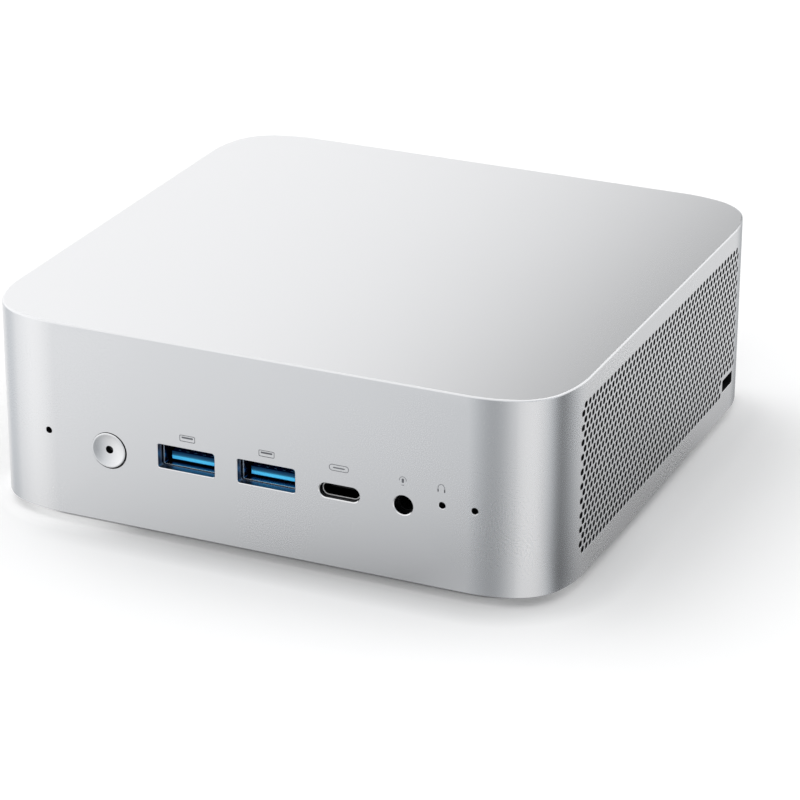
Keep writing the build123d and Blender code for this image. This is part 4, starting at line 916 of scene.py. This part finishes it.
# the end of a plug above each USB-A socket: an outline with a bar in its upper half
for x in (-16.3, 2.45):
    print_outline(x, 25.35, 3.7, 1.5, 0.3, 0.18, 6)
    print_mark(rounded_rectangle(x, 25.53, BAR, 0.4, 0.08))
# the end of a smaller plug above the USB-C socket: an oval outline with a bar in it
print_outline(USB_C_AT[0], 25.2, 4.6, 1.5, 0.7499, 0.6099, 10)
print_mark(rounded_rectangle(USB_C_AT[0], 25.2, BAR, 0.28, 0.1399))
# a microphone beside the audio socket
MICROPHONE_X = 33.85
print_mark(rounded_rectangle(MICROPHONE_X, 25.15, 0.52, 1.0, 0.2599, 8))
print_mark(stroke(arc(MICROPHONE_X, 25.25, 0.78, 0.8, -10, 190), 0.11))
print_mark(rounded_rectangle(MICROPHONE_X, 24.15, 0.62, 0.14, 0.069))
# headphones beside the right-hand pinholes
HEADPHONES_X, BAND_R = 42.55, 0.77
band = arc(HEADPHONES_X, 24.95, BAND_R, 1.0, 180, 0)
print_mark(stroke([(HEADPHONES_X - BAND_R, 24.3), (HEADPHONES_X - BAND_R, 24.9), *band,
                   (HEADPHONES_X + BAND_R, 24.3)], 0.12))
for side in (-1, 1):
    print_mark(rounded_rectangle(HEADPHONES_X + side * 0.74, 24.5, 0.26, 0.7, 0.12))
printed = marks.build("printed_marks", [ink])
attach(printed, "case")


# ---------------------------------------------------------------- connector details
def loft(solid, rings, look=0):
    """Walls through rings of (closed loop in (x, z), y), with the first and last loops closed by fans."""
    for (loop_a, y_a), (loop_b, y_b) in zip(rings, rings[1:]):
        corners = [[Vector((u, y, v)) for u, v in loop] for loop, y in ((loop_a, y_a), (loop_b, y_b))]
        count = len(loop_a)
        for i in range(count):
            face = []
            for ring, k in ((0, i), (1, i), (1, i + 1), (0, i + 1)):
                k %= count
                along_loop = corners[ring][(k + 1) % count] - corners[ring][k - 1]
                n = (corners[1][k] - corners[0][k]).cross(along_loop)
                face.append((tuple(corners[ring][k]), tuple(n)))
            solid.face(face, look)
    for (loop, y), way in ((rings[0], -1), (rings[-1], 1)):
        facing = 1 if rings[2][1] < rings[0][1] else -1
        middle = (sum(u for u, _ in loop) / len(loop), y, sum(v for _, v in loop) / len(loop))
        n = (0, facing * way, 0)
        for (u0, v0), (u1, v1) in zip(loop, loop[1:] + loop[:1]):
            solid.face([(middle, n), ((u0, y, v0), n), ((u1, y, v1), n)], look, flip=way > 0)


C_OPEN, C_STEEL, C_DEPTH, C_LIP = (8.34, 2.56), 0.3, 7.4, 0.07
C_FRONT_MOUTH_Y = FRONT_Y + 1.2
c_low, c_high = box_mm("usb_c_shells")
small_sockets = Solid()
for (x, z), mouth, inner_end in ((USB_C_AT, C_FRONT_MOUTH_Y, c_low.y + C_DEPTH),
                                 (REAR_USB_C_AT, c_high.y, c_high.y - C_DEPTH)):
    inward = math.copysign(1, inner_end - mouth)
    rings = []
    for grow, y in ((0.0, inner_end - inward * C_STEEL), (0.0, mouth + inward * C_LIP), (C_LIP, mouth),
                    (C_STEEL - C_LIP, mouth), (C_STEEL, mouth + inward * C_LIP), (C_STEEL, inner_end)):
        width, height = (side + 2 * grow for side in C_OPEN)
        loop = rounded_rectangle(x, z, width, height, height / 2 - 1e-4, 12)
        rings.append((loop if inward > 0 else loop[::-1], y))
    loft(small_sockets, rings)
usb_c_sockets = small_sockets.build("usb_c_sockets", [socket_steel_painted_shade])
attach(usb_c_sockets, "case")
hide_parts("usb_c_shells")

contacts = Solid()
PANEL_Y = box_mm("network_jacks")[1].y
NETWORK_PITCH, NETWORK_WIRE_R = 1.02, 0.2
NETWORK_WIRE = ((1.4, 12.25), (1.9, 12.4), (2.4, 12.75), (9.0, 15.6), (12.6, 16.6))
REAR_A_X, REAR_A_Z, REAR_A_PITCH, REAR_A_WIRE_R, REAR_A_WIRE = -43.4, (11.3, 19.1), 2.2, 0.16, (2.4, 9.4)
for x in NETWORK_X:
    for i in range(8):
        at = x + (i - 3.5) * NETWORK_PITCH
        wire(contacts, [(at, PANEL_Y - depth, z) for depth, z in NETWORK_WIRE], NETWORK_WIRE_R)
for z in REAR_A_Z:
    for i in range(4):
        at = REAR_A_X + (i - 1.5) * REAR_A_PITCH
        wire(contacts, [(at, PANEL_Y - depth, z - 0.32) for depth in REAR_A_WIRE], REAR_A_WIRE_R)
contact_wires = contacts.build("contact_wires", [gold])
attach(contact_wires, "case")


# ---------------------------------------------------------------- CAD nodes that show
def dress(node, material, width=0.0, segments=2):
    """Gives a CAD node its finish and, where width (mm) is set, softened edges."""
    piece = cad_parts[node]
    if not piece.material_slots:
        piece.data.materials.append(material)
    for held in piece.material_slots:
        held.material = material
    if width:
        weld = piece.modifiers.new("weld", "WELD")
        weld.merge_threshold = 1e-6
        flat = piece.modifiers.new("flat", "DECIMATE")
        flat.decimate_type = "DISSOLVE"
        flat.angle_limit = math.radians(1.0)
        edge = piece.modifiers.new("edge", "BEVEL")
        edge.width = width * MM
        edge.segments = segments
        edge.limit_method = "ANGLE"
        edge.angle_limit = math.radians(35)
        edge.use_clamp_overlap = True
        even = piece.modifiers.new("even", "WEIGHTED_NORMAL")
        even.keep_sharp = True


for node, material, width in (
        ("bottom_cover", cover_finish, 0.25), ("rubber_feet", rubber_finish, 0.5),
        ("cover_screws", screw_black, 0.12), ("bracket_inserts", brass, 0.12),
        ("rear_panel", panel_finish, 0.2), ("standoffs", brass, 0.0), ("motherboard", board_finish, 0.0),
        ("chokes", ferrite, 0.4), ("capacitors", shield, 0.25), ("board_chips", chip_finish, 0.1),
        ("cpu_package", laminate, 0.1), ("cpu_die", silicon, 0.0), ("cold_plate", copper, 0.25),
        ("cooler_springs", port_steel_painted_shade, 0.1), ("cooler_backplate", lid_steel, 0.15),
        ("cooler_screws", screw_steel, 0.08), ("heat_pipes", copper, 0.0), ("fin_stack", fin_aluminium, 0.0),
        ("fan_tray", blade_plastic, 0.2), ("fan_lid", lid_steel, 0.1), ("fan_bearing", brass, 0.08),
        ("fan_stator", winding, 0.0), ("fan_impeller", blade_plastic, 0.0), ("fan_magnet", magnet, 0.1),
        ("fan_shaft", cell, 0.05), ("memory_sockets", black_plastic, 0.12),
        ("memory_boards", card_finish, 0.0), ("memory_chips", chip_finish, 0.1),
        ("card_sockets", black_plastic, 0.12), ("card_standoffs", brass, 0.08),
        ("small_screws", screw_steel, 0.06), ("ssd_board", card_finish, 0.0),
        ("ssd_chips", chip_finish, 0.1), ("ssd_heat_spreader", spreader, 0.2),
        ("radio_board", card_finish, 0.0), ("radio_shield", shield, 0.15), ("antennas", tape, 0.05),
        ("antenna_leads", lead, 0.0), ("coin_cell", cell, 0.0), ("coin_cell_holder", black_plastic, 0.15),
        ("front_usb_a_shells", port_steel_painted_shade, 0.1), ("usb_a_tongues", tongue_blue_painted_light, 0.08),
        ("front_usb_a_contacts", dim_gold, 0.02), ("usb_c_tongues", gold_tipped, 0.05),
        ("audio_jack", light_glass, 0.0), ("button_light_pipe", light_glass, 0.05),
        ("power_switch", black_plastic, 0.15), ("power_switch_plunger", ivory, 0.1),
        ("reset_switch", black_plastic, 0.1), ("reset_switch_plunger", ivory, 0.08),
        ("microphones", rubber_finish, 0.1), ("dc_inlet", black_plastic, 0.15), ("dc_inlet_pin", cell, 0.0),
        ("hdmi_shells", port_steel_painted_shade, 0.1), ("hdmi_tongues", gold_tipped, 0.08),
        ("network_jacks", jack_face, 0.15), ("rear_usb_a_shells", port_steel_painted_shade, 0.1)):
    dress(node, material, width)


# ---------------------------------------------------------------- surroundings
# Levels by azimuth: 0 faces the case's front, 90 is on its right.
LOW_SKY = [(-180, 0.45), (-165, 0.50), (-150, 0.85), (-125, 0.95), (-108, 0.64), (-90, 0.64), (-75, 0.78),
           (-55, 1.01), (-44, 0.955), (-34, 0.835), (-24, 0.785), (-14, 0.61), (-3, 0.36), (8, 0.43),
           (18, 0.82), (30, 0.87), (48, 0.92), (60, 0.92), (72, 0.84), (82, 0.74), (92, 0.55), (102, 0.33),
           (112, 0.22), (121, 0.18), (130, 0.51), (140, 0.78), (152, 0.88), (160, 0.86), (167, 0.88),
           (172, 0.60), (180, 0.45)]
HIGH_SKY = [(-180, 0.50), (-174, 0.14), (-162.2, 0.12), (-160.8, 1.00), (-150, 1.00), (-130, 1.08),
            (-100, 1.08), (-60, 1.10), (-45, 1.10), (-30, 0.92), (-16, 0.84), (5, 0.72), (35, 0.58),
            (60, 0.52), (90, 0.62), (125, 0.90), (150, 1.05), (172, 1.05), (180, 0.50)]
ZENITH = (0.88, 1.15)
NADIR = 0.22


def cooled(levels):
    """The levels as greys that turn slightly blue as they get darker."""
    colours = []
    for angle, level in levels:
        blue = 0.035 * min(1.0, max(0.0, (0.88 - level) / 0.25))
        colours.append((angle, (level * (1 - blue), level, level * (1 + blue))))
    return colours


def make_world():
    """Soft studio surroundings: how bright each direction is, by azimuth and elevation."""
    world = bpy.data.worlds.new("studio")
    bpy.context.scene.world = world
    tree = node_tree(world)
    parts = axes(tree, add_node(tree, "ShaderNodeTexCoord").outputs["Generated"])
    azimuth = maths(tree, "ARCTAN2", parts[0], maths(tree, "MULTIPLY", parts[1], -1.0))
    elevation = maths(tree, "ARCSINE", parts[2])

    def rising(start, end, low=0.0, high=1.0):
        """A smooth step between two elevations in degrees."""
        return remap(tree, elevation, math.radians(start), math.radians(end), low, high, "SMOOTHSTEP")

    # the upper ring's bands lean over with height
    lift = maths(tree, "SUBTRACT", elevation, math.radians(21))
    lift = maths(tree, "MINIMUM", maths(tree, "MAXIMUM", lift, math.radians(-25)), math.radians(12))
    leaning = maths(tree, "SUBTRACT", azimuth, maths(tree, "MULTIPLY", lift, 1.1))
    overhead = remap(tree, parts[1], -0.1, 0.5, *ZENITH, "SMOOTHSTEP")
    high = blend(tree, rising(33, 50), ramp_around(tree, leaning, cooled(HIGH_SKY)), overhead)
    low = blend(tree, rising(-75, -32, 1.0, 0.0), ramp_around(tree, azimuth, cooled(LOW_SKY)), (NADIR,) * 3)
    whole = blend(tree, rising(-6, 7), low, high)
    background = add_node(tree, "ShaderNodeBackground", {"Color": whole, "Strength": 1.0})
    add_node(tree, "ShaderNodeOutputWorld", {"Surface": background.outputs[0]})


make_world()


# ---------------------------------------------------------------- table
# Painted light and painted shadow on the table close to the case: (mm outside its outline, share) and
# (azimuth, amount).
GLOW_REACH = [(-8.0, 0.0), (-3.8, 0.0), (-3.2, 0.95), (-2.2, 0.9), (-1.6, 0.8), (-1.0, 0.66), (-0.4, 0.5),
              (0.2, 0.4), (0.8, 0.3), (1.4, 0.22), (2.6, 0.12), (5.0, 0.0), (10.0, 0.0)]
GLOW = [(-180, 0.2), (-60, 0.5), (-42, 0.62), (-36, 0.55), (-31.7, 0.48), (-27, 0.28), (-24.5, 0.18),
        (-11, 0.16), (8, 0.14), (30, 0.15), (37, 0.18), (51, 0.25), (63, 0.10), (77, 0.06), (102, 0.12),
        (124, 0.20), (132, 0.40), (145, 0.35), (180, 0.2)]
SHADE_REACH = [(-8.0, 0.0), (-3.0, 0.0), (-1.6, 0.18), (-0.4, 0.26), (0.2, 0.30), (1.4, 0.30), (2.6, 0.25),
               (6.0, 0.13), (10.0, 0.0)]
SHADE = [(-180, 0.0), (-36, 0.0), (-24, 0.6), (-11, 1.0), (10, 1.0), (37, 0.8), (51, 0.5), (63, 0.4),
         (77, 0.2), (102, 0.3), (124, 0.2), (135, 0.0), (180, 0.0)]
# Painted shade in the walls' reflections of the table: share of the reflected light lost beside the case, by
# azimuth, and how far that reaches in mm.
REFLECTION_SHADE = [(-180, 0.3), (-120, 0.2), (-60, 0.10), (-35, 0.18), (-25, 0.26), (0, 0.40), (25, 0.5), (34, 0.32),
        (42, 0.10), (50, 0.22), (56, 0.56), (64, 0.62), (74, 0.60), (90, 0.62), (108, 0.58), (122, 0.38),
        (140, 0.3), (180, 0.3)]
REFLECTION_SHADE_REACH, REFLECTION_SHADE_RIGHT = 38.0, 0.88
FLOOR_HALF, REFLECTION_SHADE_HALF, REFLECTION_SHADE_HEIGHT = 4.0, 0.5, 0.0003


def beside_case(tree):
    """For a point on the table: metres outside the case's outline, its azimuth, and its x, y and z."""
    parts = axes(tree, object_place(tree))
    past = []
    for axis, side in ((0, front), (1, right)):
        beyond = maths(tree, "SUBTRACT", maths(tree, "ABSOLUTE", parts[axis]), side.straight * MM)
        past.append(maths(tree, "MAXIMUM", beyond, 0.0))
    squares = maths(tree, "ADD", *(maths(tree, "MULTIPLY", length, length) for length in past))
    distance = maths(tree, "SUBTRACT", maths(tree, "SQRT", squares), FLAT_TO_ARC * MM)
    azimuth = maths(tree, "ARCTAN2", parts[0], maths(tree, "MULTIPLY", parts[1], -1.0))
    return distance, azimuth, parts


def level_square(name, half, height, material):
    """A level square centred over the origin, in metres."""
    mesh = bpy.data.meshes.new(name)
    mesh.from_pydata([(x * half, y * half, height) for x, y in ((-1, -1), (1, -1), (1, 1), (-1, 1))], [],
                     [(0, 1, 2, 3)])
    mesh.materials.append(material)
    return show(name, mesh)


def make_floor():
    """The pale table, with painted light (an emission) under the case's edge and a painted shadow in front of
    it.
    """
    material = bpy.data.materials.new("pale_floor")
    tree = node_tree(material)
    grain = add_node(tree, "ShaderNodeTexNoise", {"Vector": object_place(tree), "Scale": 3.0}).outputs[0]
    tone = ramp(tree, grain, [(NOISE_LOW, 0.90), (NOISE_HIGH, 0.91)])
    distance, azimuth, _ = beside_case(tree)

    def near_case(reach, amounts):
        return maths(tree, "MULTIPLY", ramp_along(tree, distance, reach), ramp_around(tree, azimuth, amounts))

    # painted shadow darkens the table beside the case; the emission below is painted light
    shade = blend(tree, near_case(SHADE_REACH, SHADE), tone, (0, 0, 0))
    matt = add_node(tree, "ShaderNodeAddShader", {
        0: add_node(tree, "ShaderNodeBsdfDiffuse", {"Color": shade}).outputs[0],
        1: add_node(tree, "ShaderNodeEmission", {"Strength": near_case(GLOW_REACH, GLOW)}).outputs[0]})
    one_sided = add_node(tree, "ShaderNodeMixShader", {
        0: add_node(tree, "ShaderNodeNewGeometry").outputs["Backfacing"], 1: matt.outputs[0],
        2: add_node(tree, "ShaderNodeBsdfTransparent").outputs[0]})
    add_node(tree, "ShaderNodeOutputMaterial", {"Surface": one_sided.outputs[0]})
    floor = level_square("floor", FLOOR_HALF, 0.0, material)
    floor.visible_glossy = False
    floor.visible_shadow = False


def make_painted_reflection_shade():
    """A clear sheet that paints shade into the walls' reflections of the table, darker close to the case.
    Only reflections meet it.
    """
    material = bpy.data.materials.new("painted_reflection_shade")
    tree = node_tree(material)
    away, azimuth, parts = beside_case(tree)
    fade = maths(tree, "MULTIPLY", maths(tree, "MAXIMUM", away, 0.0), -1 / (REFLECTION_SHADE_REACH * MM))
    lost = maths(tree, "MULTIPLY", ramp_around(tree, azimuth, REFLECTION_SHADE), maths(tree, "EXPONENT", fade))
    sideways = remap(tree, parts[0], -0.12, 0.06, 1.0, REFLECTION_SHADE_RIGHT)
    kept = maths(tree, "MULTIPLY", maths(tree, "SUBTRACT", 1.0, lost), sideways)
    clear = add_node(tree, "ShaderNodeBsdfTransparent", {"Color": kept})
    add_node(tree, "ShaderNodeOutputMaterial", {"Surface": clear.outputs[0]})
    tint = level_square("painted_reflection_shade", REFLECTION_SHADE_HALF, REFLECTION_SHADE_HEIGHT, material)
    for name in ("camera", "diffuse", "transmission", "volume_scatter", "shadow"):
        setattr(tint, "visible_" + name, False)


make_floor()
make_painted_reflection_shade()


# ---------------------------------------------------------------- lamps
def sun(name, energy, spread, direction):
    """A lamp for matt surfaces and the floor; the metal sees only the surroundings."""
    data = bpy.data.lights.new(name, "SUN")
    data.energy = energy
    data.angle = math.radians(spread)
    lamp = show(name, data)
    lamp.rotation_mode = "QUATERNION"
    lamp.rotation_quaternion = Vector(direction).to_track_quat("Z", "Y")
    lamp.visible_glossy = False


sun("key", 0.6, 40, (-0.66, 0.2, 0.92))
sun("dome", 0.46, 150, (0.0, 0.1, 1.0))


# ---------------------------------------------------------------- camera
AZIMUTH, ELEVATION, ROLL = (math.radians(a) for a in (23.896, 23.537, 0.137))
DISTANCE, SLIDE, RISE = 0.75114, 0.003562, -0.01222
LENS, SENSOR = 148.43, 36.0
target = Vector((0, 0, (BOTTOM_Z + TOP_Z) / 2)) * MM
level_reach = math.cos(ELEVATION)
away = Vector((math.sin(AZIMUTH) * level_reach, -math.cos(AZIMUTH) * level_reach, math.sin(ELEVATION)))
level = (-away).cross(Vector((0, 0, 1))).normalized()
upright = level.cross(-away)
right_hand = level * math.cos(ROLL) + upright * math.sin(ROLL)
up_hand = upright * math.cos(ROLL) - level * math.sin(ROLL)
camera_data = bpy.data.cameras.new("camera")
camera_data.lens = LENS
camera_data.sensor_width = SENSOR
camera_data.clip_start = 0.05
camera_data.clip_end = 20.0
camera = show("camera", camera_data)
place = Matrix.Translation(target + away * DISTANCE + right_hand * SLIDE + up_hand * RISE)
camera.matrix_world = place @ Matrix((right_hand, up_hand, away)).transposed().to_4x4()
bpy.context.scene.camera = camera
bpy.context.scene.view_settings.view_transform = "Standard"
